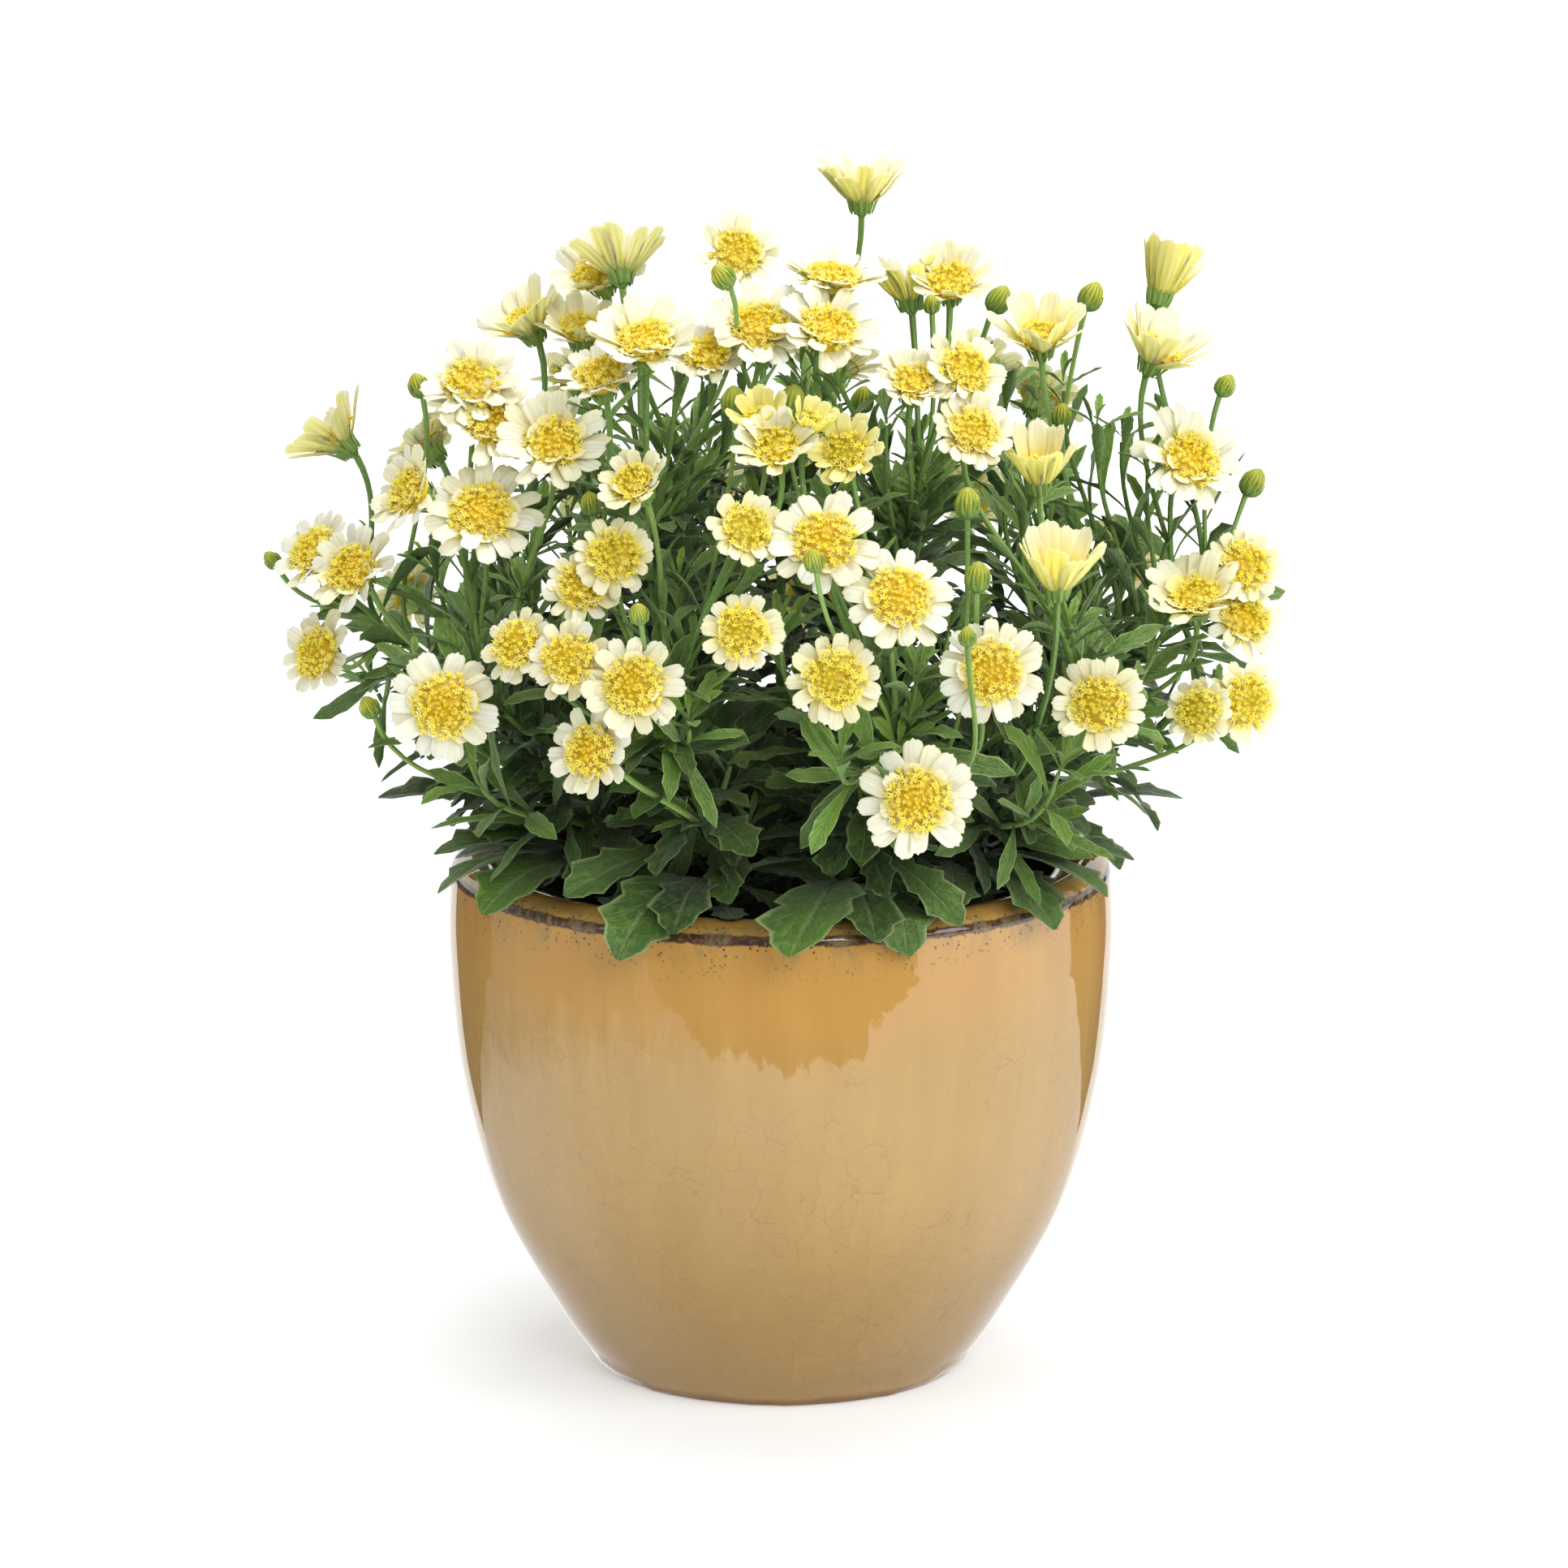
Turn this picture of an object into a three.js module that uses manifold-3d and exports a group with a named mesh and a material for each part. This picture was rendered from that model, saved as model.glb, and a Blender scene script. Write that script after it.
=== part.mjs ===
// Osteospermum in full bloom, in a glazed stoneware pot.
//
// Millimetres, +Z up. The origin is the middle of the pot's foot, on the ground, and -Y is the front.
// The plant is fifteen leafy shoots that stand in plain holes in the compost. Each shoot is one solid:
// its woody stem, its toothed leaves, the bare stalks of its flower heads and its buds on their stalks.
// Every flower head sits on the end of a stalk, and heads whose petals touch are one solid together.

import * as THREE from "three";
import { mergeVertices } from "three/addons/utils/BufferGeometryUtils.js";
import Module from "manifold-3d";

const wasm = await Module();
wasm.setup();

// ---------------------------------------------------------------- driving dimensions

const POT = {
  sides: 28,
  rimRadius: 150, // at the sharp edge where the wall ends and the rolled lip begins
  rimHeight: 231,
  lipRise: 7, // the lip's crown above that edge
  lipWidth: 26, // from that edge in to the mouth
  lipDepth: 9, // thickness of the lip at the mouth
  wall: 9,
  footRadius: 83,
  footWidth: 13, // of the ring that it stands on
  footRecess: 3,
  floor: 13,
  drainRadius: 11,
};
const COMPOST = {
  top: 214,
  gap: 0.35, // to the pot
  drop: 26, // how deep a stem stands in it
  hole: 0.45, // clearance of the plain hole round a stem
};
const FIT = 0.3; // least clearance between pieces that pass each other
const SEAT = 0.34; // gap between a stalk's end and its flower head
const FINE = 0.06; // edges shorter than this are closed up where solids were joined

const STEM = { foot: 2.9, tip: 1.9, sides: 4, steps: 4, lean: 0.3, rise: 0.62 };
const STALK = {
  radius: 1.25,
  sides: 3,
  steps: 2,
  leave: 0.35, // share of its length over which it still follows the stem
  reaches: [0.4, 0.2, 0.6], // share over which it comes in behind its flower head: first, second, third try
  starts: [0.96, 0.86, 0.76, 0.66, 0.55, 0.4], // where along the stem it leaves, in the order tried
  carriers: 4, // how many of the nearest shoots are tried
};
const BUD = { radius: 5.6, length: 14, swell: [[0.15, 0.8], [0.55, 1], [1, 0.35]] };
const HEAD = {
  petals: 8,
  notch: 0.6, // depth of the notch between petals: share of a petal's length that is joined
  tipWidth: 0.56, // share of a petal's pitch that its blunt tip takes
  flare: 14, // degrees that a petal bends, from steep at its root to level at its tip
  receptacle: 5, // radius where the petals start
  calyx: 9, // height of the green base under them
  base: 3, // radius of that base at the stalk
  disc: 0.3, // share of a petal's length that the cushion of florets covers
};
// Leaves of a shoot, from its lowest to its highest.
const LEAF = {
  inner: 6,
  outer: 12,
  length: [88, 44],
  slimness: [0.26, 0.24],
  pitch: [74, 30], // degrees away from the stem
  arch: [38, 14], // degrees that a leaf bends from root to tip
  golden: 137.5,
  fold: 0.28,
  thickness: 1.3,
  turns: [0, 45, -45, 90, -90], // ways round the stem, in the order tried
};
const COLLAR = { start: 0.17, rise: 36, fold: 0.2, thickness: 1.6, shuffle: 1 / 12 };

// Shoots: one in the middle, four round it and ten leaning out over the rim.
const SHOOT_RINGS = [
  { count: 1, bearing: 270, foot: 6, tip: 14, height: 408 },
  { count: 4, bearing: 45, foot: 34, tip: 84, height: 384 },
  { count: 10, bearing: 0, foot: 76, tip: 160, height: 322, outer: true },
];
const UNEVEN = { tip: 10, height: 16 }; // how much shoots differ
const OUTLIER = { every: 5, extra: 31, rise: 26 }; // the two outer shoots that reach out to the sides

// Flower heads, in the groups whose petals touch. Each row is: across (+X), height, how far in front
// of the middle, the way it faces (turn: 0 is the front, positive to +X; tip: above level), the
// spread of its petals, and how far it is open (0 a closed bud, 1 flat).
const FRONT_HEADS = {
  heads_peak: [[36, 536, 0, 0, 87, 37, 0.5]],
  heads_high_left: [
    [-71, 508, 10, -160, 66, 40, 0.55],
    [-80, 499, 26, -31, 54, 40, 0.75],
  ],
  heads_upper_left: [
    [-112, 477, 0, -66, 60, 40, 0.6],
    [-89, 475, 5, 0, 69, 36, 0.6],
  ],
  heads_crown_left: [
    [-58, 484, 118, 0, 63, 50, 0.85],
    [-77, 470, 113, -27, 62, 38, 0.9],
  ],
  heads_crown_back: [[-20, 512, 26, 15, 38, 38, 0.8]],
  heads_crown: [
    [-31, 478, 98, -9, 53, 34, 0.9],
    [-9, 489, 96, 0, 53, 48, 0.95],
    [19, 489, 104, 29, 52, 48, 0.95],
    [22, 505, 76, 27, 77, 46, 0.9],
  ],
  heads_upper_right: [
    [57, 495, 20, -124, 80, 29, 0.4],
    [75, 499, 28, 0, 58, 37, 0.75],
  ],
  heads_inner_right: [
    [78, 472, 99, 30, 35, 38, 0.8],
    [57, 467, 105, 9, 53, 32, 0.8],
    [82, 448, 116, 18, 37, 36, 0.8],
  ],
  head_right_cup: [[116, 472, 10, -9, 72, 40, 0.55]],
  head_far_right_high: [[171, 494, -26, 135, 69, 31, 0.3]],
  head_far_right: [[167, 466, 0, 63, 64, 38, 0.6]],
  head_right_wide: [[180, 418, 20, 27, 38, 50, 0.85]],
  heads_left: [
    [-135, 461, 74, 0, 49, 44, 0.9],
    [-126, 446, 86, 8, 45, 44, 0.9],
    [-98, 438, 98, 0, 41, 48, 0.78],
  ],
  head_far_left: [[-197, 425, 0, -98, 41, 42, 0.6]],
  heads_left_edge: [
    [-157, 419, 101, -59, 27, 42, 0.72],
    [-129, 410, 108, -4, 41, 52, 1],
  ],
  heads_low_left: [
    [-205, 379, 32, -50, 38, 40, 0.85],
    [-187, 375, 56, -40, 37, 44, 0.85],
  ],
  head_left_edge_low: [[-203, 338, 50, -45, 23, 39, 0.85]],
  head_inner_left: [[-61, 432, 154, -34, 44, 32, 0.75]],
  heads_middle_left: [
    [-71, 402, 157, 0, 30, 36, 0.95],
    [-85, 388, 155, 0, 37, 34, 0.95],
  ],
  heads_front_left: [
    [-111, 364, 162, -31, 30, 34, 0.85],
    [-89, 361, 177, -19, 27, 37, 0.9],
    [-62, 352, 188, -9, 24, 45, 0.9],
    [-79, 324, 189, -32, 18, 40, 0.9],
  ],
  head_low_left: [[-144, 336, 150, -6, 12, 49, 1]],
  heads_middle: [
    [-1, 446, 150, -14, 50, 36, 0.75],
    [-8, 458, 134, -20, 55, 24, 0.45],
    [13, 459, 146, 40, 60, 20, 0.4],
    [28, 446, 149, -10, 30, 31, 0.6],
  ],
  heads_centre: [
    [-16, 417, 176, 21, 30, 34, 0.75],
    [19, 412, 180, -4, 37, 48, 1],
    [50, 390, 191, 11, 34, 48, 1],
  ],
  head_front_high: [[-16, 377, 196, 0, 27, 36, 0.95]],
  head_front_middle: [[23, 358, 202, 0, 17, 41, 0.95]],
  head_front_low: [[58, 306, 202, 0, 12, 50, 1]],
  head_front_right: [[90, 357, 180, 0, 15, 46, 1]],
  head_right_goblet: [[119, 389, 144, 0, 66, 38, 0.45]],
  head_inner_cup: [[112, 428, 103, -8, 69, 28, 0.35]],
  head_low_right: [[137, 337, 156, -6, 21, 42, 0.85]],
  heads_right_edge: [
    [205, 375, 35, 19, 24, 35, 0.85],
    [184, 360, 50, -11, 59, 44, 0.8],
    [205, 351, 38, 27, 33, 38, 0.9],
  ],
  heads_low_right_edge: [
    [185, 318, 78, -20, 19, 31, 0.85],
    [204, 320, 64, 32, 12, 39, 0.9],
  ],
};
const BACK_HEADS = {
  heads_back_left_high: [
    [-140, 425, -80, -150, 45, 44, 0.9],
    [-162, 406, -88, -125, 35, 42, 0.85],
  ],
  heads_back_crown_left: [
    [-64, 446, -106, 175, 52, 46, 0.9],
    [-92, 434, -108, -165, 45, 42, 0.85],
  ],
  heads_back_crown: [
    [-8, 450, -105, 180, 55, 48, 0.95],
    [26, 438, -116, 170, 48, 42, 0.9],
  ],
  heads_back_crown_right: [
    [90, 438, -106, 160, 50, 46, 0.9],
    [119, 426, -102, 145, 40, 42, 0.85],
  ],
  head_back_right_high: [[180, 400, -55, 120, 35, 44, 0.9]],
  head_back_left: [[-92, 378, -168, -165, 28, 46, 0.95]],
  heads_back_middle: [
    [2, 385, -190, 180, 28, 48, 1],
    [-33, 368, -192, -175, 20, 42, 0.9],
  ],
  head_back_right: [[88, 368, -177, 158, 24, 48, 0.95]],
  head_back_right_low: [[162, 345, -138, 130, 25, 46, 0.95]],
  head_back_left_low: [[-172, 330, -130, -130, 18, 46, 0.95]],
  head_back_low: [[14, 314, -201, 178, 14, 48, 1]],
};

// Buds: across, height, in front of the middle, turn, tip, and size against the full-grown bud.
const BUDS = [
  [-25, 517, 112, -60, 50, 0.85],
  [66, 497, 60, -20, 75, 0.6],
  [98, 487, -18, 90, 60, 0.95],
  [139, 490, -8, 90, 65, 0.95],
  [-162, 451, 0, -90, 70, 0.8],
  [-20, 463, 116, -20, 82, 1],
  [5, 463, 114, 40, 75, 1.05],
  [36, 455, 62, 60, 80, 0.85],
  [199, 451, 0, 80, 60, 0.75],
  [212, 407, 0, 80, 60, 0.95],
  [80, 425, 150, 0, 82, 0.95],
  [84, 397, 172, 20, 80, 0.95],
  [79, 376, 196, -30, 84, 0.6],
  [14, 411, 208, -20, 60, 0.75],
  [-60, 385, 192, -20, 60, 0.7],
  [-82, 420, 124, -40, 75, 0.75],
  [-182, 318, 66, -60, 60, 0.75],
  [-228, 374, 12, -80, 50, 0.6],
  [126, 438, 2, 20, 85, 0.75],
  [-104, 404, -146, -160, 60, 0.85],
  [32, 404, -160, 170, 65, 0.8],
  [134, 396, -124, 150, 60, 0.9],
  [-24, 336, -206, 180, 45, 0.8],
  [96, 316, -188, 160, 40, 0.75],
];

// The big lower leaves that lie over the rim: bearing round the pot (270 is the front), length, width,
// and how far they arch over, in degrees.
const COLLAR_LEAVES = [
  [214, 104, 25, 66],
  [228, 98, 27, 74],
  [243, 104, 28, 84],
  [256, 92, 24, 70],
  [270, 110, 35, 74],
  [281, 96, 25, 74],
  [293, 108, 28, 88],
  [307, 102, 26, 84],
  [322, 100, 25, 66],
  [338, 96, 24, 54],
  [356, 98, 24, 46],
  [18, 96, 25, 60],
  [44, 104, 28, 72],
  [66, 92, 24, 60],
  [86, 104, 28, 88],
  [108, 98, 27, 70],
  [132, 104, 27, 78],
  [158, 96, 25, 58],
  [182, 98, 25, 46],
  [198, 92, 24, 52],
];

// ---------------------------------------------------------------- small helpers

const rad = THREE.MathUtils.degToRad;
const lerp = THREE.MathUtils.lerp;
const vec = (x, y, z) => new THREE.Vector3(x, y, z);
const polar = (r, degrees, z) => vec(r * Math.cos(rad(degrees)), r * Math.sin(rad(degrees)), z);

// A repeatable draw between 0 and 1 for a pair of whole numbers.
function draw(a, b) {
  const wave = Math.sin(a * 12.9898 + b * 78.233) * 43758.5453;
  return wave - Math.floor(wave);
}

// The unit vector that a flower or bud faces.
function facing(turn, tip) {
  const level = Math.cos(rad(tip));
  return vec(Math.sin(rad(turn)) * level, -Math.cos(rad(turn)) * level, Math.sin(rad(tip)));
}

function solidOf(geometry) {
  const bare = geometry.clone();
  bare.deleteAttribute("normal");
  bare.deleteAttribute("uv");
  const merged = mergeVertices(bare, 1e-4);
  return new wasm.Manifold(
    new wasm.Mesh({
      numProp: 3,
      vertProperties: merged.attributes.position.array,
      triVerts: new Uint32Array(merged.index.array),
    }),
  );
}

function geometryOf(solid) {
  const mesh = solid.getMesh();
  const geometry = new THREE.BufferGeometry();
  geometry.setAttribute("position", new THREE.BufferAttribute(mesh.vertProperties, 3));
  geometry.setIndex(new THREE.BufferAttribute(mesh.triVerts, 1));
  const faceted = geometry.toNonIndexed();
  faceted.computeVertexNormals();
  return faceted;
}

// A closed solid from points and triangles of point numbers.
function solidFrom(points, faces) {
  const geometry = new THREE.BufferGeometry().setFromPoints(points);
  geometry.setIndex(faces.flat());
  const solid = solidOf(geometry);
  if (solid.volume() <= 0) throw new Error("a surface faces inwards");
  return solid;
}

// Triangles between two closed rings of point numbers that each come with their angle or station.
function band(lower, upper) {
  const faces = [];
  let i = 0;
  let j = 0;
  const turn = 2 * Math.PI;
  const at = (ring, k) => ring[k % ring.length].angle + (k >= ring.length ? turn : 0);
  const id = (ring, k) => ring[k % ring.length].id;
  while (i < lower.length || j < upper.length) {
    const stepLower = j >= upper.length || (i < lower.length && at(lower, i + 1) <= at(upper, j + 1));
    if (stepLower) {
      faces.push([id(lower, i), id(lower, i + 1), id(upper, j)]);
      i += 1;
    } else {
      faces.push([id(lower, i), id(upper, j + 1), id(upper, j)]);
      j += 1;
    }
  }
  return faces;
}

// A round bar of changing thickness along a line of points, closed at both ends. Its last end is cut
// square to the line, or to the way that is given.
function bar(path, radii, sides, endWay = null) {
  const points = [];
  const rings = [];
  let side = vec(0.31, 0.17, 0.93).cross(path[1].clone().sub(path[0])).normalize();
  path.forEach((centre, k) => {
    const isEnd = k === path.length - 1;
    const along = path[isEnd ? k : k + 1].clone().sub(path[Math.max(k - 1, 0)]).normalize();
    if (isEnd && endWay) along.copy(endWay);
    side = side.clone().addScaledVector(along, -side.dot(along)).normalize();
    const other = along.clone().cross(side);
    const ring = [];
    for (let s = 0; s < sides; s += 1) {
      const angle = (2 * Math.PI * s) / sides;
      ring.push({ id: points.length, angle });
      const spoke = side.clone().multiplyScalar(Math.cos(angle)).addScaledVector(other, Math.sin(angle));
      points.push(centre.clone().addScaledVector(spoke, radii[k]));
    }
    rings.push(ring);
  });
  const faces = [];
  for (let k = 1; k < rings.length; k += 1) faces.push(...band(rings[k - 1], rings[k]));
  const first = rings[0];
  const last = rings[rings.length - 1];
  for (let s = 1; s < sides - 1; s += 1) {
    faces.push([first[0].id, first[s + 1].id, first[s].id]);
    faces.push([last[0].id, last[s].id, last[s + 1].id]);
  }
  return solidFrom(points, faces);
}

// ---------------------------------------------------------------- pot and compost

// The outer wall as a smooth line from the foot to the rim's edge.
const wallLine = new THREE.SplineCurve([
  new THREE.Vector2(POT.footRadius, 0),
  new THREE.Vector2(102, 27),
  new THREE.Vector2(129.5, 77),
  new THREE.Vector2(145.5, 136),
  new THREE.Vector2(151, 195),
  new THREE.Vector2(POT.rimRadius, POT.rimHeight),
]);

// Radius of the outer wall at a height, found along the wall line.
function wallRadius(height) {
  let low = 0;
  let high = 1;
  for (let k = 0; k < 30; k += 1) {
    const middle = (low + high) / 2;
    if (wallLine.getPoint(middle).y < height) low = middle;
    else high = middle;
  }
  return wallLine.getPoint(low).x;
}

// Heights at which the inner wall turns a little, and the same for the compost against it.
const INSIDE_HEIGHTS = [28, 80, 150, 205];
const FLOOR_CORNER = 8; // how far the inside's bottom corner is rounded in

// Up the outside, over the rolled lip, down the inside, through the drain hole and back to the foot.
function potProfile() {
  const outline = wallLine.getPoints(6);
  const mouth = POT.rimRadius - POT.lipWidth;
  const crown = POT.rimHeight + POT.lipRise;
  const lipUnder = crown - POT.lipDepth;
  const innerFoot = POT.footRadius - POT.footWidth;
  const rest = [
    [POT.rimRadius - 4, crown - 2],
    [POT.rimRadius - 11, crown],
    [mouth + 3, crown - 3],
    [mouth, lipUnder + 1],
    [mouth + 3, lipUnder - 3],
    ...[...INSIDE_HEIGHTS].reverse().map((height) => [wallRadius(height) - POT.wall, height]),
    [wallRadius(POT.floor) - POT.wall - FLOOR_CORNER, POT.floor],
    [POT.drainRadius, POT.floor],
    [POT.drainRadius, POT.footRecess],
    [innerFoot - 2, POT.footRecess],
    [innerFoot, 0],
    [POT.footRadius, 0],
  ];
  return [...outline, ...rest.map(([radius, height]) => new THREE.Vector2(radius, height))];
}

function lathe(profile) {
  const geometry = new THREE.LatheGeometry(profile, POT.sides);
  geometry.rotateX(Math.PI / 2);
  return geometry;
}

function makePot() {
  const solid = solidOf(lathe(potProfile()));
  if (solid.volume() <= 0) throw new Error("the pot's profile runs the wrong way");
  return solid;
}

// The compost fills the pot under its lip, with a plain hole for each stem.
function makeCompost(holes) {
  const bottom = POT.floor + COMPOST.gap;
  const inside = (height) => wallRadius(height) - POT.wall - COMPOST.gap / Math.cos(Math.PI / POT.sides);
  const outline = [
    [0, bottom],
    [inside(POT.floor) - FLOOR_CORNER - 1, bottom],
    ...INSIDE_HEIGHTS.map((height) => [inside(height), height]),
    [inside(COMPOST.top) - 4, COMPOST.top - 3],
    [0, COMPOST.top],
  ];
  const full = solidOf(lathe(outline.map(([radius, height]) => new THREE.Vector2(radius, height))));
  return full.subtract(wasm.Manifold.union(holes));
}

// Lifts a leaf's point to just above the lip where it would cross the rim.
function overLip(point) {
  const radius = Math.hypot(point.x, point.y);
  const overRim = radius > POT.rimRadius - POT.lipWidth - 3 && radius < POT.rimRadius + 3;
  const lowest = POT.rimHeight + POT.lipRise + 2.3;
  return overRim ? Math.max(lowest, point.z) : point.z;
}

// ---------------------------------------------------------------- shoots

// The stem's line: it rises from the compost and leans out to the shoot's tip.
function stemCurve(row) {
  const foot = polar(row.foot, row.bearing, COMPOST.top);
  const tip = polar(row.tip, row.bearing, row.height);
  const knee = foot.clone().lerp(tip, STEM.lean).setZ(lerp(COMPOST.top, row.height, STEM.rise));
  return new THREE.QuadraticBezierCurve3(foot, knee, tip);
}

function makeShootRows() {
  const rows = [];
  for (const ring of SHOOT_RINGS) {
    for (let k = 0; k < ring.count; k += 1) {
      const index = rows.length;
      const reachesOut = ring.outer && k % OUTLIER.every === 0;
      const row = {
        index,
        name: `shoot_${String(index + 1).padStart(2, "0")}`,
        bearing: ring.bearing + (360 * k) / ring.count,
        foot: ring.foot,
        tip: ring.tip + (reachesOut ? OUTLIER.extra : UNEVEN.tip * (draw(index, 1) - 0.5)),
        height: ring.height + (reachesOut ? OUTLIER.rise : UNEVEN.height * (draw(index, 2) - 0.5)),
        outer: ring.outer === true,
      };
      row.curve = stemCurve(row);
      rows.push(row);
    }
  }
  return rows;
}

function makeStem(row) {
  const foot = row.curve.getPoint(0);
  const buried = foot.clone().setZ(COMPOST.top - COMPOST.drop);
  const path = [buried];
  const radii = [STEM.foot];
  for (let k = 0; k <= STEM.steps; k += 1) {
    path.push(row.curve.getPoint(k / STEM.steps));
    radii.push(lerp(STEM.foot, STEM.tip, k / STEM.steps));
  }
  return bar(path, radii, STEM.sides);
}

// The plain hole that a stem stands in.
function makeStemHole(row) {
  const foot = row.curve.getPoint(0);
  const radius = STEM.foot + COMPOST.hole * Math.SQRT2;
  const path = [foot.clone().setZ(COMPOST.top - COMPOST.drop - FIT), foot.clone().setZ(COMPOST.top + 4)];
  return bar(path, [radius, radius + COMPOST.hole], STEM.sides);
}

// Shoots in the order of how near their tips are to a point.
function nearestShoots(rows, point) {
  const distance = (row) => row.curve.v2.distanceTo(point);
  return [...rows].sort((one, other) => distance(one) - distance(other));
}

// A stalk's line: out of the stem along the shoot, and into the head or bud from behind it.
function stalkPath(row, { start, reach }, end, face) {
  const from = row.curve.getPoint(start);
  const away = row.curve.getTangent(start);
  const length = from.distanceTo(end);
  const curve = new THREE.CubicBezierCurve3(
    from,
    from.clone().addScaledVector(away, STALK.leave * length),
    end.clone().addScaledVector(face, -reach * length),
    end,
  );
  return curve.getPoints(STALK.steps);
}

function makeStalk(row, route, end, face) {
  const path = stalkPath(row, route, end, face);
  return bar(path, path.map(() => STALK.radius), STALK.sides, face);
}

// A bud on its stalk: the bar swells into a pointed egg.
function makeBud(row, route, bud) {
  const face = facing(bud.turn, bud.tip);
  const length = BUD.length * bud.size;
  const radius = BUD.radius * bud.size;
  const base = bud.at.clone().addScaledVector(face, -length / 2);
  const path = stalkPath(row, route, base, face);
  const radii = path.map(() => STALK.radius);
  for (const [share, swell] of BUD.swell) {
    path.push(base.clone().addScaledVector(face, share * length));
    radii.push(radius * swell);
  }
  return bar(path, radii, STEM.sides);
}

// ---------------------------------------------------------------- leaves

// Half outlines from root to tip: share of the length, share of the half width. Each cut makes a tooth.
const NARROW_SIDE = [[0.58, 1], [0.72, 0.56]];
const TOOTHED_SIDE = [[0.3, 0.34], [0.5, 0.86], [0.58, 0.6], [0.76, 1], [0.84, 0.62]];
const NARROW_RIB = [0.38, 0.7];
const TOOTHED_RIB = [0.3, 0.56, 0.8];

// A blade in its own frame: the root at the origin, +X along it, +Z its upper face. It arches down
// and folds up along its rib, and its two faces meet in a thin edge.
function bladePoints(leaf) {
  const side = leaf.toothed ? TOOTHED_SIDE : NARROW_SIDE;
  const rib = leaf.toothed ? TOOTHED_RIB : NARROW_RIB;
  const arch = Math.max(rad(leaf.arch), 1e-3);
  const at = (along, across, lift) => {
    const bend = arch * along;
    const up = Math.abs(across) * leaf.width * 0.5 * leaf.fold + lift;
    return vec(
      (leaf.length * Math.sin(bend)) / arch + up * Math.sin(bend),
      across * leaf.width * 0.5,
      (-leaf.length * (1 - Math.cos(bend))) / arch + up * Math.cos(bend),
    );
  };
  const points = [at(0, 0, 0), at(1, 0, 0)];
  const chain = (sign) => [
    { id: 0, angle: 0 },
    ...side.map(([along, across]) => ({ id: points.push(at(along, sign * across, 0)) - 1, angle: along })),
    { id: 1, angle: 1 },
  ];
  const ribChain = (lift) => [
    { id: 0, angle: 0 },
    ...rib.map((along) => ({ id: points.push(at(along, 0, lift)) - 1, angle: along })),
    { id: 1, angle: 1 },
  ];
  const left = chain(1);
  const right = chain(-1);
  const top = ribChain(leaf.thickness / 2);
  const under = ribChain(-leaf.thickness / 2);
  const faces = [...strip(right, top), ...strip(top, left), ...strip(left, under), ...strip(under, right)];
  return { points, faces };
}

// Triangles between two chains of points that share their first and last point.
function strip(near, far) {
  const faces = [];
  let i = 0;
  let j = 0;
  while (i < near.length - 1 || j < far.length - 1) {
    const stepNear = j >= far.length - 1 || (i < near.length - 1 && near[i + 1].angle <= far[j + 1].angle);
    const third = stepNear ? near[i + 1].id : far[j + 1].id;
    const face = [near[i].id, third, far[j].id];
    if (new Set(face).size === 3) faces.push(face);
    if (stepNear) i += 1;
    else j += 1;
  }
  return faces;
}

// Puts a blade on a stem point: `out` is the way it grows and its upper face looks back up the stem.
function placeBlade(leaf) {
  const { points, faces } = bladePoints(leaf);
  const x = leaf.out.clone().normalize();
  const z = leaf.up.clone().addScaledVector(x, -leaf.up.dot(x)).normalize();
  const frame = new THREE.Matrix4().makeBasis(x, z.clone().cross(x), z).setPosition(leaf.root);
  const placed = points.map((point) => point.clone().applyMatrix4(frame));
  for (const point of placed) point.z = overLip(point);
  return solidFrom(placed, faces);
}

// Leaf number k of a shoot, by its place on the stem: big and spreading below, small and steep above.
function shootLeaf(row, k, turn) {
  const count = row.outer ? LEAF.outer : LEAF.inner;
  const share = lerp(row.outer ? 0.2 : 0.3, 1, (k + 0.6) / count);
  const grade = ([low, high]) => lerp(low, high, share);
  const along = row.curve.getTangent(share);
  const across = along.clone().cross(vec(0, 0, 1)).normalize();
  const lift = across.clone().cross(along);
  const round = rad(LEAF.golden * k + 360 * draw(row.index, 7) + turn);
  const spoke = across.multiplyScalar(Math.cos(round)).addScaledVector(lift, Math.sin(round));
  const pitch = rad(grade(LEAF.pitch) + 14 * (draw(row.index, 20 + k) - 0.5));
  const length = grade(LEAF.length) * (0.88 + 0.24 * draw(row.index, 60 + k));
  return {
    root: row.curve.getPoint(share),
    out: along.clone().multiplyScalar(Math.cos(pitch)).addScaledVector(spoke, Math.sin(pitch)),
    up: along.clone().multiplyScalar(0.9).addScaledVector(vec(0, 0, 1), 0.3),
    length,
    width: length * grade(LEAF.slimness),
    arch: grade(LEAF.arch) + 20 * draw(row.index, 100 + k),
    fold: LEAF.fold,
    thickness: LEAF.thickness,
    toothed: false,
  };
}

// A big lower leaf that leaves the foot of an outer shoot and lies over the rim.
function collarLeaf(row, [bearing, length, width, arch], turn) {
  const rise = rad(COLLAR.rise);
  return {
    root: row.curve.getPoint(COLLAR.start),
    out: polar(Math.cos(rise), bearing + turn * COLLAR.shuffle, Math.sin(rise)),
    up: vec(0, 0, 1),
    length,
    width,
    arch,
    fold: COLLAR.fold,
    thickness: COLLAR.thickness,
    toothed: true,
  };
}

// ---------------------------------------------------------------- flower heads

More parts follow.
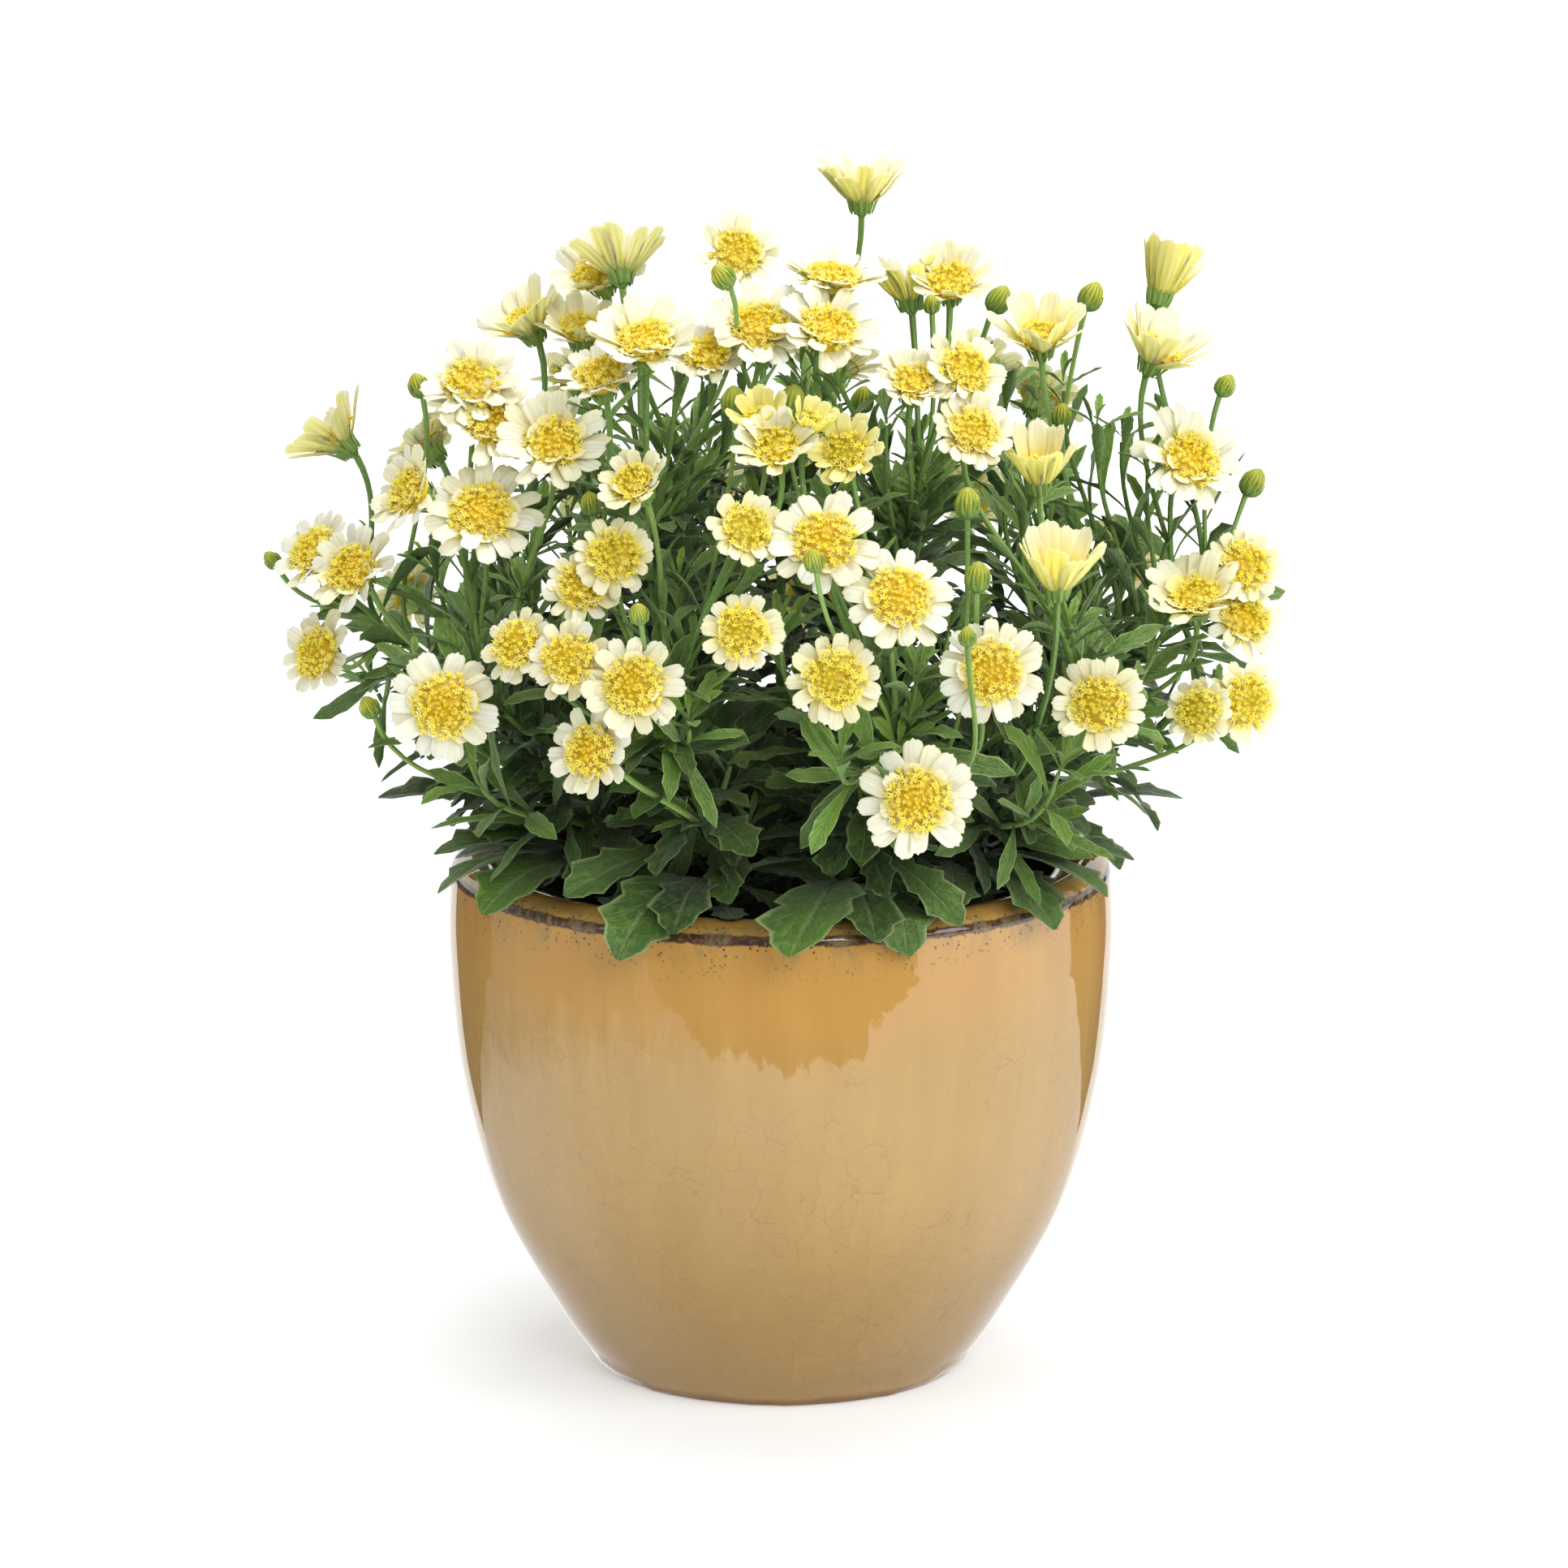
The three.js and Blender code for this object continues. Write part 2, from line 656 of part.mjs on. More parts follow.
// A petal's line in a head that is open so far: radius and height at a share of the petal's length.
function petalLine(spread, open) {
  const tilt = rad(12 + 86 * (1 - open));
  const flare = rad(HEAD.flare);
  const mean = (Math.cos(tilt + flare) + Math.cos(tilt - flare)) / 2;
  const length = (spread / 2 - HEAD.receptacle) / mean;
  const steps = 8;
  return (share) => {
    const step = (length * share) / steps;
    let radius = HEAD.receptacle;
    let height = -1.5;
    for (let k = 0; k < steps; k += 1) {
      const lean = tilt + flare - (2 * flare * share * (k + 0.5)) / steps;
      radius += step * Math.cos(lean);
      height += step * Math.sin(lean);
    }
    return { radius, height };
  };
}

// One head in its own frame: the middle of its disc at the origin, facing +Z. From below: the green
// base, the petals with a notch between each two, and the raised cushion of small florets.
function headSolid(spread, open) {
  const line = petalLine(spread, open);
  const notch = line(HEAD.notch);
  const tip = line(1);
  const disc = line(HEAD.disc);
  const points = [];
  const add = (radius, height, angle) => {
    points.push(vec(radius * Math.cos(angle), radius * Math.sin(angle), height));
    return { id: points.length - 1, angle };
  };
  const pitch = (2 * Math.PI) / HEAD.petals;
  const [baseRing, outline, discRing, florets] = [[], [], [], []];
  for (let k = 0; k < HEAD.petals; k += 1) {
    const angle = k * pitch;
    const uneven = 1 + 0.06 * Math.sin(7 * k + spread);
    outline.push(add(notch.radius, notch.height, angle));
    outline.push(add(tip.radius * uneven, tip.height * uneven, angle + ((1 - HEAD.tipWidth) / 2) * pitch));
    outline.push(add(tip.radius, tip.height, angle + ((1 + HEAD.tipWidth) / 2) * pitch));
    discRing.push(add(disc.radius - 0.5, disc.height + 1.3, angle));
    if (k % 2 === 0) {
      baseRing.push(add(HEAD.base, -HEAD.calyx, angle));
      florets.push(add(0.55 * disc.radius, disc.height + 1.6 + 3.4 * open, angle + pitch));
    }
  }
  const apex = add(0, disc.height + 1.8 + 2.4 * open, 0).id;
  const faces = [...band(baseRing, outline), ...band(outline, discRing), ...band(discRing, florets)];
  florets.forEach((floret, k) => faces.push([floret.id, florets[(k + 1) % florets.length].id, apex]));
  for (let k = 1; k < baseRing.length - 1; k += 1) {
    faces.push([baseRing[0].id, baseRing[k + 1].id, baseRing[k].id]);
  }
  return solidFrom(points, faces);
}

function placeHead(head, number) {
  const face = facing(head.turn, head.tip);
  const lie = Math.abs(face.z) > 0.95 ? vec(0, -1, 0) : vec(0, 0, 1);
  const x = lie.cross(face).normalize();
  const spin = new THREE.Matrix4().makeRotationZ(2 * Math.PI * draw(number, 3));
  const frame = new THREE.Matrix4().makeBasis(x, face.clone().cross(x), face).multiply(spin);
  frame.setPosition(head.at);
  return headSolid(head.spread, head.open).transform(frame.elements);
}

function readHead([across, height, front, turn, tip, spread, open]) {
  return { at: vec(across, -front, height), turn, tip, spread, open };
}

function readBud([across, height, front, turn, tip, size]) {
  return { at: vec(across, -front, height), turn, tip, size };
}

// ---------------------------------------------------------------- assembly

const shoots = makeShootRows();
const pot = makePot();
const compost = makeCompost(shoots.map(makeStemHole));

// Flower heads, one solid for each group.
const headNodes = [];
let headNumber = 0;
for (const [name, rows] of Object.entries({ ...FRONT_HEADS, ...BACK_HEADS })) {
  const heads = rows.map(readHead);
  const solids = heads.map((head) => {
    headNumber += 1;
    return placeHead(head, headNumber);
  });
  headNodes.push({ name, heads, solid: wasm.Manifold.union(solids) });
}

// Shoots grow limb by limb from their stems: stalks and buds first, then leaves.
for (const row of shoots) {
  row.solid = makeStem(row);
  row.limbs = [];
}
function grow(row, limb) {
  row.solid = row.solid.add(limb);
  row.limbs.push(limb);
}
function neighboursOf(row) {
  return [...headNodes, ...shoots.filter((other) => other !== row)].map((node) => node.solid);
}
function isClear(solid, others) {
  return others.every((other) => solid.minGap(other, FIT) >= FIT);
}

// A stalk or bud leaves the nearest shoot from which it can reach its place without touching anything.
function carry(target, makeLimb) {
  for (const row of nearestShoots(shoots, target).slice(0, STALK.carriers)) {
    const others = neighboursOf(row);
    for (const reach of STALK.reaches) {
      for (const start of STALK.starts) {
        const limb = makeLimb(row, { start, reach });
        if (isClear(limb, others)) {
          grow(row, limb);
          return;
        }
      }
    }
  }
  throw new Error(`no stalk reaches ${target.toArray()}`);
}
for (const head of headNodes.flatMap((node) => node.heads)) {
  const face = facing(head.turn, head.tip);
  const base = head.at.clone().addScaledVector(face, -HEAD.calyx - SEAT);
  carry(base, (row, route) => makeStalk(row, route, base, face));
}
for (const bud of BUDS.map(readBud)) carry(bud.at, (row, route) => makeBud(row, route, bud));

// A leaf that would touch another node, or a limb of its own shoot, is turned a little. Where it still
// touches, it may cross a limb of its own shoot, and otherwise it is left out.
function addLeaf(row, makeLeaf) {
  const others = [pot, compost, ...neighboursOf(row)];
  for (const own of [row.limbs, []]) {
    for (const turn of LEAF.turns) {
      const leaf = placeBlade(makeLeaf(turn));
      if (isClear(leaf, [...others, ...own])) {
        grow(row, leaf);
        return;
      }
    }
  }
}
const outerShoots = shoots.filter((row) => row.outer);
for (const collar of COLLAR_LEAVES) {
  const { tip, height } = SHOOT_RINGS[2];
  const [row] = nearestShoots(outerShoots, polar(tip, collar[0], height));
  addLeaf(row, (turn) => collarLeaf(row, collar, turn));
}
for (const row of shoots) {
  const count = row.outer ? LEAF.outer : LEAF.inner;
  for (let k = 0; k < count; k += 1) addLeaf(row, (turn) => shootLeaf(row, k, turn));
}

const group = new THREE.Group();

function addNode(name, solid, look) {
  const geometry = geometryOf(solid.asOriginal().simplify(FINE));
  const mesh = new THREE.Mesh(geometry, new THREE.MeshStandardMaterial(look));
  mesh.name = name;
  group.add(mesh);
}

const LOOKS = {
  glaze: { color: 0xc99a5b, roughness: 0.15, metalness: 0 },
  compost: { color: 0x2a2019, roughness: 0.95, metalness: 0 },
  foliage: { color: 0x3f7a34, roughness: 0.6, metalness: 0 },
  petals: { color: 0xf6efc0, roughness: 0.6, metalness: 0 },
};
addNode("pot", pot, LOOKS.glaze);
addNode("compost", compost, LOOKS.compost);
for (const { name, solid } of shoots) addNode(name, solid, LOOKS.foliage);
for (const { name, solid } of headNodes) addNode(name, solid, LOOKS.petals);

export default group;
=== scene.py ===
import math

import bpy
import numpy as np
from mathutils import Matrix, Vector
from mathutils.bvhtree import BVHTree


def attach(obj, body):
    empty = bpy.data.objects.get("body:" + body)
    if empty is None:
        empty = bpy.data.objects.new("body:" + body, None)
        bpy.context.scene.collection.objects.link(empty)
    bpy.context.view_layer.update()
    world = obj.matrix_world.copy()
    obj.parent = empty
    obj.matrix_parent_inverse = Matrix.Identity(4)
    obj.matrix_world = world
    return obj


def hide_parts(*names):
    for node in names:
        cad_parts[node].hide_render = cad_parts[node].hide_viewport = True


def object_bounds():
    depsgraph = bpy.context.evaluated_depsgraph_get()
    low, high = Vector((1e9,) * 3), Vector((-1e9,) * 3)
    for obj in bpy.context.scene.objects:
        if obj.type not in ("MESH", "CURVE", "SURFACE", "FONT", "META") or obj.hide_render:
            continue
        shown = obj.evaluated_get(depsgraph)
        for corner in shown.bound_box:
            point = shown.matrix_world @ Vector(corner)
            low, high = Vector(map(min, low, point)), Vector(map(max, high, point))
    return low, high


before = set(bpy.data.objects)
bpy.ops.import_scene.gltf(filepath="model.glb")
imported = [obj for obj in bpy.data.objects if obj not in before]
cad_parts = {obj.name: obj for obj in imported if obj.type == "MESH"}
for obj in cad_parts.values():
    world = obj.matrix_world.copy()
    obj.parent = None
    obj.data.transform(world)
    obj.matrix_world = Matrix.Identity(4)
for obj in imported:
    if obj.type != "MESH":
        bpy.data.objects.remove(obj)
cad_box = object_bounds()
scene = bpy.context.scene
MM = 0.001
UP = np.array((0.0, 0.0, 1.0))
chance = np.random.default_rng(11)


def placed(name, data):
    """A new object of the scene, with this data."""
    made = bpy.data.objects.new(name, data)
    scene.collection.objects.link(made)
    return made


# ---------------------------------------------------------------- camera

CAMERA_PLACE, CAMERA_PITCH = (0.0015, -3.2, 0.98), 12.54
LENS, SENSOR, SIGHT = 166.3, 36, 60


def make_camera():
    data = bpy.data.cameras.new("camera")
    data.lens, data.sensor_width, data.clip_end = LENS, SENSOR, SIGHT
    camera = placed("camera", data)
    camera.location = CAMERA_PLACE
    camera.rotation_euler = (math.radians(90 - CAMERA_PITCH), 0, 0)
    scene.camera = camera


make_camera()

# ---------------------------------------------------------------- sizes, as in the frame

RIM_RADIUS, RIM_HEIGHT = 150, 231
LIP_RISE, LIP_WIDTH, LIP_DEPTH = 7, 26, 9
WALL, FLOOR_HEIGHT, FLOOR_CORNER = 9, 13, 8
FOOT_RADIUS, FOOT_WIDTH, FOOT_RECESS, DRAIN_RADIUS = 83, 13, 3, 11
WALL_POINTS = [(83, 0), (102, 27), (129.5, 77), (145.5, 136), (151, 195), (150, 231)]
COMPOST_TOP = 214
STEM_FOOT, STEM_TIP, STEM_LEAN, STEM_RISE = 2.9, 1.9, 0.3, 0.62
STALK_RADIUS, BUD_RADIUS, BUD_LENGTH = 1.35, 5.6, 14
RECEPTACLE, CALYX, SEAT, FLARE = 5, 9, 0.34, 14
LEAF_LENGTH, LEAF_SLIMNESS, LEAF_PITCH, LEAF_ARCH = (88, 44), (0.26, 0.24), (74, 30), (38, 14)
LEAF_FOLD, GOLDEN = 0.28, 137.5
TURNS = (0, 45, -45, 90, -90)
COLLAR_START, COLLAR_RISE, COLLAR_FOLD, COLLAR_SHUFFLE = 0.17, 36, 0.2, 1 / 12

# Shoots: count, bearing of the first, radius at the foot and tip, height, leaning over the rim.
SHOOT_RINGS = [
    (1, 270, 6, 14, 408, False), (4, 45, 34, 84, 384, False), (10, 0, 76, 160, 322, True),
]
UNEVEN_TIP, UNEVEN_HEIGHT = 10, 16
OUTLIER_EVERY, OUTLIER_EXTRA, OUTLIER_RISE = 5, 31, 26
# Stalks in front of the leaves: across, height, in front, of the place where each comes out.
OWN_ROUTES = {
    (-71, 508): (-36, 362, 4), (-77, 470): (-78, 356, 92), (-58, 484): (-48, 300, 112),
    (-79, 324): (-32, 266, 128), (119, 389): (95, 280, 106), (139, 490): (100, 345, 0),
    (80, 425): (74, 298, 150), (84, 397): (88, 298, 150), (79, 376): (84, 300, 182),
}

# Flower heads by node: across, height, in front, turn, tip, spread, how far open.
HEADS = {
    "heads_peak": [(36, 536, 0, 0, 87, 37, 0.5)],
    "heads_high_left": [(-71, 508, 30, -160, 66, 40, 0.55), (-80, 499, 4, -31, 54, 40, 0.75)],
    "heads_upper_left": [(-112, 477, 0, -66, 60, 40, 0.6), (-89, 475, 5, 0, 69, 36, 0.6)],
    "heads_crown_left": [(-58, 484, 118, 0, 63, 50, 0.85), (-77, 470, 113, -27, 62, 38, 0.9)],
    "heads_crown_back": [(-20, 512, 26, 15, 38, 38, 0.8)],
    "heads_crown": [
        (-31, 478, 98, -9, 53, 34, 0.9),
        (-9, 489, 96, 0, 53, 48, 0.95),
        (19, 489, 104, 29, 52, 48, 0.95),
        (22, 505, 76, 27, 77, 46, 0.9),
    ],
    "heads_upper_right": [(57, 495, 20, -124, 80, 29, 0.4), (75, 499, 28, 0, 58, 37, 0.75)],
    "heads_inner_right": [
        (78, 472, 99, 30, 35, 38, 0.8),
        (57, 467, 105, 9, 53, 32, 0.8),
        (82, 448, 116, 18, 37, 36, 0.8),
    ],
    "head_right_cup": [(116, 472, 10, -9, 72, 40, 0.55)],
    "head_far_right_high": [(171, 490, -26, 135, 69, 31, 0.3)],
    "head_far_right": [(167, 463, 0, 60, 62, 45, 0.56)],
    "head_right_wide": [(180, 418, 20, 27, 38, 50, 0.85)],
    "heads_left": [
        (-135, 461, 74, 0, 49, 44, 0.9),
        (-126, 446, 86, 8, 45, 44, 0.9),
        (-98, 438, 98, 0, 41, 48, 0.78),
    ],
    "head_far_left": [(-197, 425, 0, -98, 41, 42, 0.6)],
    "heads_left_edge": [(-157, 419, 101, -59, 27, 42, 0.72), (-129, 410, 108, -4, 41, 52, 1)],
    "heads_low_left": [(-205, 379, 32, -50, 38, 40, 0.85), (-187, 375, 56, -40, 37, 44, 0.85)],
    "head_left_edge_low": [(-203, 338, 50, -45, 23, 39, 0.85)],
    "head_inner_left": [(-61, 432, 154, -34, 44, 32, 0.75)],
    "heads_middle_left": [(-71, 402, 157, 0, 30, 36, 0.95), (-85, 388, 155, 0, 37, 34, 0.95)],
    "heads_front_left": [
        (-111, 364, 162, -31, 30, 34, 0.85),
        (-89, 361, 177, -19, 27, 37, 0.9),
        (-62, 352, 188, -9, 24, 45, 0.9),
        (-79, 324, 189, -32, 18, 40, 0.9),
    ],
    "head_low_left": [(-144, 336, 150, -6, 12, 49, 1)],
    "heads_middle": [
        (-1, 446, 150, -14, 50, 36, 0.75),
        (-8, 458, 134, -20, 55, 24, 0.45),
        (13, 459, 146, 40, 60, 20, 0.4),
        (28, 446, 149, -10, 30, 31, 0.6),
    ],
    "heads_centre": [
        (-16, 417, 176, 21, 30, 34, 0.75),
        (19, 412, 180, -4, 37, 48, 1),
        (50, 390, 191, 11, 34, 48, 1),
    ],
    "head_front_high": [(-16, 377, 196, 0, 27, 36, 0.95)],
    "head_front_middle": [(23, 358, 202, 0, 17, 41, 0.95)],
    "head_front_low": [(58, 306, 202, 0, 12, 50, 1)],
    "head_front_right": [(90, 357, 180, 0, 15, 46, 1)],
    "head_right_goblet": [(119, 389, 144, 0, 66, 38, 0.4)],
    "head_inner_cup": [(112, 428, 103, -8, 69, 28, 0.35)],
    "head_low_right": [(137, 337, 156, -6, 21, 42, 0.85)],
    "heads_right_edge": [
        (205, 375, 35, 19, 24, 35, 0.85),
        (184, 360, 50, -11, 59, 44, 0.8),
        (205, 351, 38, 27, 33, 38, 0.9),
    ],
    "heads_low_right_edge": [(185, 318, 78, -20, 19, 31, 0.85), (204, 320, 64, 32, 12, 39, 0.9)],
    "heads_back_left_high": [
        (-140, 425, -80, -150, 45, 44, 0.9),
        (-162, 406, -88, -125, 35, 42, 0.85),
    ],
    "heads_back_crown_left": [
        (-64, 446, -106, 175, 52, 46, 0.9),
        (-92, 434, -108, -165, 45, 42, 0.85),
    ],
    "heads_back_crown": [(-8, 450, -105, 180, 55, 48, 0.95), (26, 438, -116, 170, 48, 42, 0.9)],
    "heads_back_crown_right": [
        (90, 438, -106, 160, 50, 46, 0.9),
        (119, 426, -102, 145, 40, 42, 0.85),
    ],
    "head_back_right_high": [(180, 400, -55, 120, 35, 44, 0.9)],
    "head_back_left": [(-92, 378, -168, -165, 28, 46, 0.95)],
    "heads_back_middle": [(2, 385, -190, 180, 28, 48, 1), (-33, 368, -192, -175, 20, 42, 0.9)],
    "head_back_right": [(88, 368, -177, 158, 24, 48, 0.95)],
    "head_back_right_low": [(162, 345, -138, 130, 25, 46, 0.95)],
    "head_back_left_low": [(-172, 330, -130, -130, 18, 46, 0.95)],
    "head_back_low": [(14, 314, -201, 178, 14, 48, 1)],
}
# Buds: across, height, in front, turn, tip, size.
BUDS = [
    (-25, 517, 112, -60, 50, 0.85), (66, 497, 60, -20, 75, 0.6), (98, 487, -18, 90, 60, 0.95),
    (139, 490, -8, 90, 65, 0.95), (-162, 451, 0, -90, 70, 0.8), (-20, 463, 116, -20, 82, 1),
    (5, 463, 114, 40, 75, 1.05), (36, 455, 62, 60, 80, 0.85), (199, 451, 0, 80, 60, 0.75),
    (212, 407, 0, 80, 60, 0.95), (80, 425, 150, 0, 82, 0.95), (84, 397, 172, 20, 80, 0.95),
    (79, 376, 196, -30, 84, 0.6), (14, 411, 208, -20, 60, 0.75), (-60, 385, 192, -20, 60, 0.7),
    (-82, 420, 124, -40, 75, 0.75), (-182, 318, 66, -60, 60, 0.75), (-228, 374, 12, -80, 50, 0.6),
    (126, 438, 2, 20, 85, 0.75), (-104, 404, -146, -160, 60, 0.85), (32, 404, -160, 170, 65, 0.8),
    (134, 396, -124, 150, 60, 0.9), (-24, 336, -206, 180, 45, 0.8), (96, 316, -188, 160, 40, 0.75),
]
# Leaves over the rim: bearing, length, width, arch.
COLLAR_LEAVES = [
    (214, 104, 25, 66), (228, 98, 27, 74), (243, 104, 28, 84), (256, 92, 24, 70),
    (270, 110, 35, 74), (281, 96, 25, 74), (293, 108, 28, 88), (307, 102, 26, 84),
    (322, 100, 25, 66), (338, 96, 24, 54), (356, 98, 24, 46), (18, 96, 25, 60),
    (44, 104, 28, 72), (66, 92, 24, 60), (86, 104, 28, 88), (108, 98, 27, 70),
    (132, 104, 27, 78), (158, 96, 25, 58), (182, 98, 25, 46), (198, 92, 24, 52),
]

# ---------------------------------------------------------------- small helpers


def draw(a, b):
    """A repeatable draw between 0 and 1 for a pair of whole numbers, the same as the frame's."""
    wave = math.sin(a * 12.9898 + b * 78.233) * 43758.5453
    return wave - math.floor(wave)


def unit(vectors):
    vectors = np.asarray(vectors, float)
    return vectors / np.maximum(np.linalg.norm(vectors, axis=-1, keepdims=True), 1e-9)


def apart(one, other):
    return float(np.linalg.norm(other - one))


def facing(turn, tip):
    turn, tip = math.radians(turn), math.radians(tip)
    flat = math.cos(tip)
    return np.array((math.sin(turn) * flat, -math.cos(turn) * flat, math.sin(tip)))


def polar(radius, bearing, height):
    bearing = math.radians(bearing)
    return np.array((radius * math.cos(bearing), radius * math.sin(bearing), height), float)


def spot_of(across, height, front):
    return np.array((across, -front, height), float)


def aside(way, guide, turned):
    """A direction square to a way, turned round it by degrees from the one that a guide sets."""
    across, turned = unit(np.cross(way, guide)), math.radians(turned)
    return across * math.cos(turned) + np.cross(across, way) * math.sin(turned)


def leaning(way, spoke, pitch):
    pitch = math.radians(pitch)
    return way * math.cos(pitch) + spoke * math.sin(pitch)


def bezier(controls, t):
    """Points at shares t of a quadratic or cubic Bezier line."""
    points = [np.asarray(c, float) for c in controls]
    t = np.asarray(t, float)[..., None]
    while len(points) > 1:
        points = [one * (1 - t) + other * t for one, other in zip(points, points[1:])]
    return points[0]


def spread_between(low, high, share):
    return low + (high - low) * share


def smooth(low, high, value):
    t = np.clip((np.asarray(value, float) - low) / (high - low), 0, 1)
    return t * t * (3 - 2 * t)


def round_angles(count, shift=0):
    return (np.arange(count) + shift) * 2 * math.pi / count


def catmull(points, count):
    """A smooth line through the points, evenly by point number."""
    points = np.asarray(points, float)
    last = len(points) - 1
    result = []
    for place in np.linspace(0, last, count):
        i = min(int(place), last - 1)
        t = place - i
        p0, p1, p2, p3 = points[max(i - 1, 0)], points[i], points[i + 1], points[min(i + 2, last)]
        v0, v1 = (p2 - p0) / 2, (p3 - p1) / 2
        cube, square = 2 * p1 - 2 * p2 + v0 + v1, 3 * p2 - 3 * p1 - 2 * v0 - v1
        result.append(cube * t**3 + square * t**2 + v0 * t + p1)
    return np.array(result)


# ---------------------------------------------------------------- pieces from many closed forms

MARKS = ("along", "across", "tone", "youth")
FINISHES = {}


class Sheaf:
    """Gathers small closed forms, in millimetres, and makes one piece of them."""

    def __init__(self, name):
        self.name, self.count = name, 0
        self.finishes, self.points, self.corners, self.sizes, self.slots = [], [], [], [], []
        self.marks = {mark: [] for mark in MARKS}

    def add(self, points, faces, finish, **marks):
        """Points and faces, which are one array or a list of arrays with 3 or 4 corners a face."""
        points = np.asarray(points, float).reshape(-1, 3)
        self.points.append(points)
        for mark in MARKS:
            value = np.asarray(marks.get(mark, 0.0), float)
            value = value.ravel() if value.ndim else value
            self.marks[mark].append(np.broadcast_to(value, len(points)))
        first = self.count
        self.count += len(points)
        self.join(first, faces, finish)
        return first

    def join(self, first, faces, finish):
        """More faces, with another finish if need be, on points that are already there."""
        if finish not in self.finishes:
            self.finishes.append(finish)
        for group in faces if isinstance(faces, (list, tuple)) else [faces]:
            group = np.asarray(group, np.int64)
            self.corners.append((group + first).ravel())
            self.sizes.append(np.full(len(group), group.shape[1]))
            self.slots.append(np.full(len(group), self.finishes.index(finish)))

    def piece(self, slot, *stands_for, sharp=52):
        mesh = bpy.data.meshes.new(self.name)
        points, corners = np.concatenate(self.points) * MM, np.concatenate(self.corners)
        sizes, slots = np.concatenate(self.sizes), np.concatenate(self.slots)
        mesh.vertices.add(self.count)
        mesh.vertices.foreach_set("co", points.astype(np.float32).ravel())
        mesh.loops.add(len(corners))
        mesh.loops.foreach_set("vertex_index", corners.astype(np.int32))
        mesh.polygons.add(len(sizes))
        mesh.polygons.foreach_set("loop_start", (np.cumsum(sizes) - sizes).astype(np.int32))
        mesh.polygons.foreach_set("material_index", slots.astype(np.int32))
        mesh.update(calc_edges=True)
        mesh.shade_smooth()
        mesh.set_sharp_from_angle(angle=math.radians(sharp))
        for mark, values in self.marks.items():
            attribute = mesh.attributes.new(mark, "FLOAT", "POINT")
            attribute.data.foreach_set("value", np.concatenate(values).astype(np.float32))
        for finish in self.finishes:
            mesh.materials.append(FINISHES[finish])
        made = placed(self.name, mesh)
        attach(made, "root")
        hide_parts(*stands_for)


def grid_faces(rows, columns):
    """Quads of a closed grid of points, row by row, where the last column joins the first."""
    i, j = np.meshgrid(np.arange(rows - 1), np.arange(columns), indexing="ij")
    near, far = i * columns + j, i * columns + (j + 1) % columns
    return np.stack([near, far, far + columns, near + columns], -1).reshape(-1, 4)


def blade_faces(rows, columns):
    """Upper and lower quads of a thin closed blade. Both faces share the points of its border."""
    upper = np.arange(rows * columns).reshape(rows, columns)
    lower = upper.copy()
    inner = np.arange((rows - 2) * (columns - 2))
    lower[1:-1, 1:-1] = rows * columns + inner.reshape(rows - 2, columns - 2)

    def quads(ids, flip):
        corners = [ids[:-1, :-1], ids[1:, :-1], ids[1:, 1:], ids[:-1, 1:]]
        return np.stack(corners[::-1] if flip else corners, -1).reshape(-1, 4)

    return quads(upper, False), quads(lower, True)


def blade_shares(rows, columns, count):
    """Shares of the length and half width at the points of equal blades."""
    along = np.array(rows)[None, :, None] * np.ones((count, 1, len(columns)))
    return along, np.array(columns)[None, None, :] * np.ones_like(along)


def add_blades(sheaf, middle, thickness, faces, **marks):
    """Thin closed blades from their middle surfaces: middle is blades x rows x columns x 3."""
    blades, rows, columns, _ = middle.shape
    normal = unit(np.cross(np.gradient(middle, axis=1), np.gradient(middle, axis=2)))
    rim = np.zeros((rows, columns))
    rim[1:-1, 1:-1] = 0.5
    lift = normal * rim[None, :, :, None] * thickness
    upper, lower = middle + lift, (middle - lift)[:, 1:-1, 1:-1]
    points = np.concatenate([upper.reshape(blades, -1, 3), lower.reshape(blades, -1, 3)], axis=1)
    full = {}
    for mark, value in marks.items():
        value = np.broadcast_to(np.asarray(value, float), (blades, rows, columns))
        inner = value[:, 1:-1, 1:-1].reshape(blades, -1)
        full[mark] = np.concatenate([value.reshape(blades, -1), inner], axis=1)
    step = (np.arange(blades) * points.shape[1])[:, None, None]
    above, below = ((quads[None] + step).reshape(-1, 4) for quads in blade_faces(rows, columns))
    first = sheaf.add(points, above, faces[0], **full)
    sheaf.join(first, below, faces[1])


def add_tube(sheaf, path, radii, sides, finish, ribs=0, rib_depth=0.0, **marks):
    """A round closed form of changing thickness along a line, with ribs along it if need be."""
    path, radii = np.asarray(path, float), np.asarray(radii, float)
    rows = len(path)
    tangent = unit(np.gradient(path, axis=0))
    side = np.cross((0.31, 0.17, 0.93), tangent[0])
    angle = round_angles(sides)
    shape = 1 + rib_depth * np.cos(ribs * angle)
    rings = np.empty((rows, sides, 3))
    for k in range(rows):
        side = unit(side - tangent[k] * (side @ tangent[k]))
        other = np.cross(tangent[k], side)
        spoke = np.cos(angle)[:, None] * side + np.sin(angle)[:, None] * other
        rings[k] = path[k] + radii[k] * shape[:, None] * spoke
    s = np.arange(sides)
    following, last, end = (s + 1) % sides, (rows - 1) * sides, np.full(sides, rows * sides)
    foot = np.stack([end, following, s], -1)
    top = np.stack([end + 1, last + s, last + following], -1)
    points = np.concatenate([rings.reshape(-1, 3), path[[0, -1]]])
    share = np.repeat(np.linspace(0, 1, rows), sides)
    marks.setdefault("along", np.concatenate([share, [0, 1]]))
    marks.setdefault("across", np.concatenate([np.tile(angle / (2 * math.pi), rows), [0, 0]]))
    sheaf.add(points, [grid_faces(rows, sides), np.concatenate([foot, top])], finish, **marks)


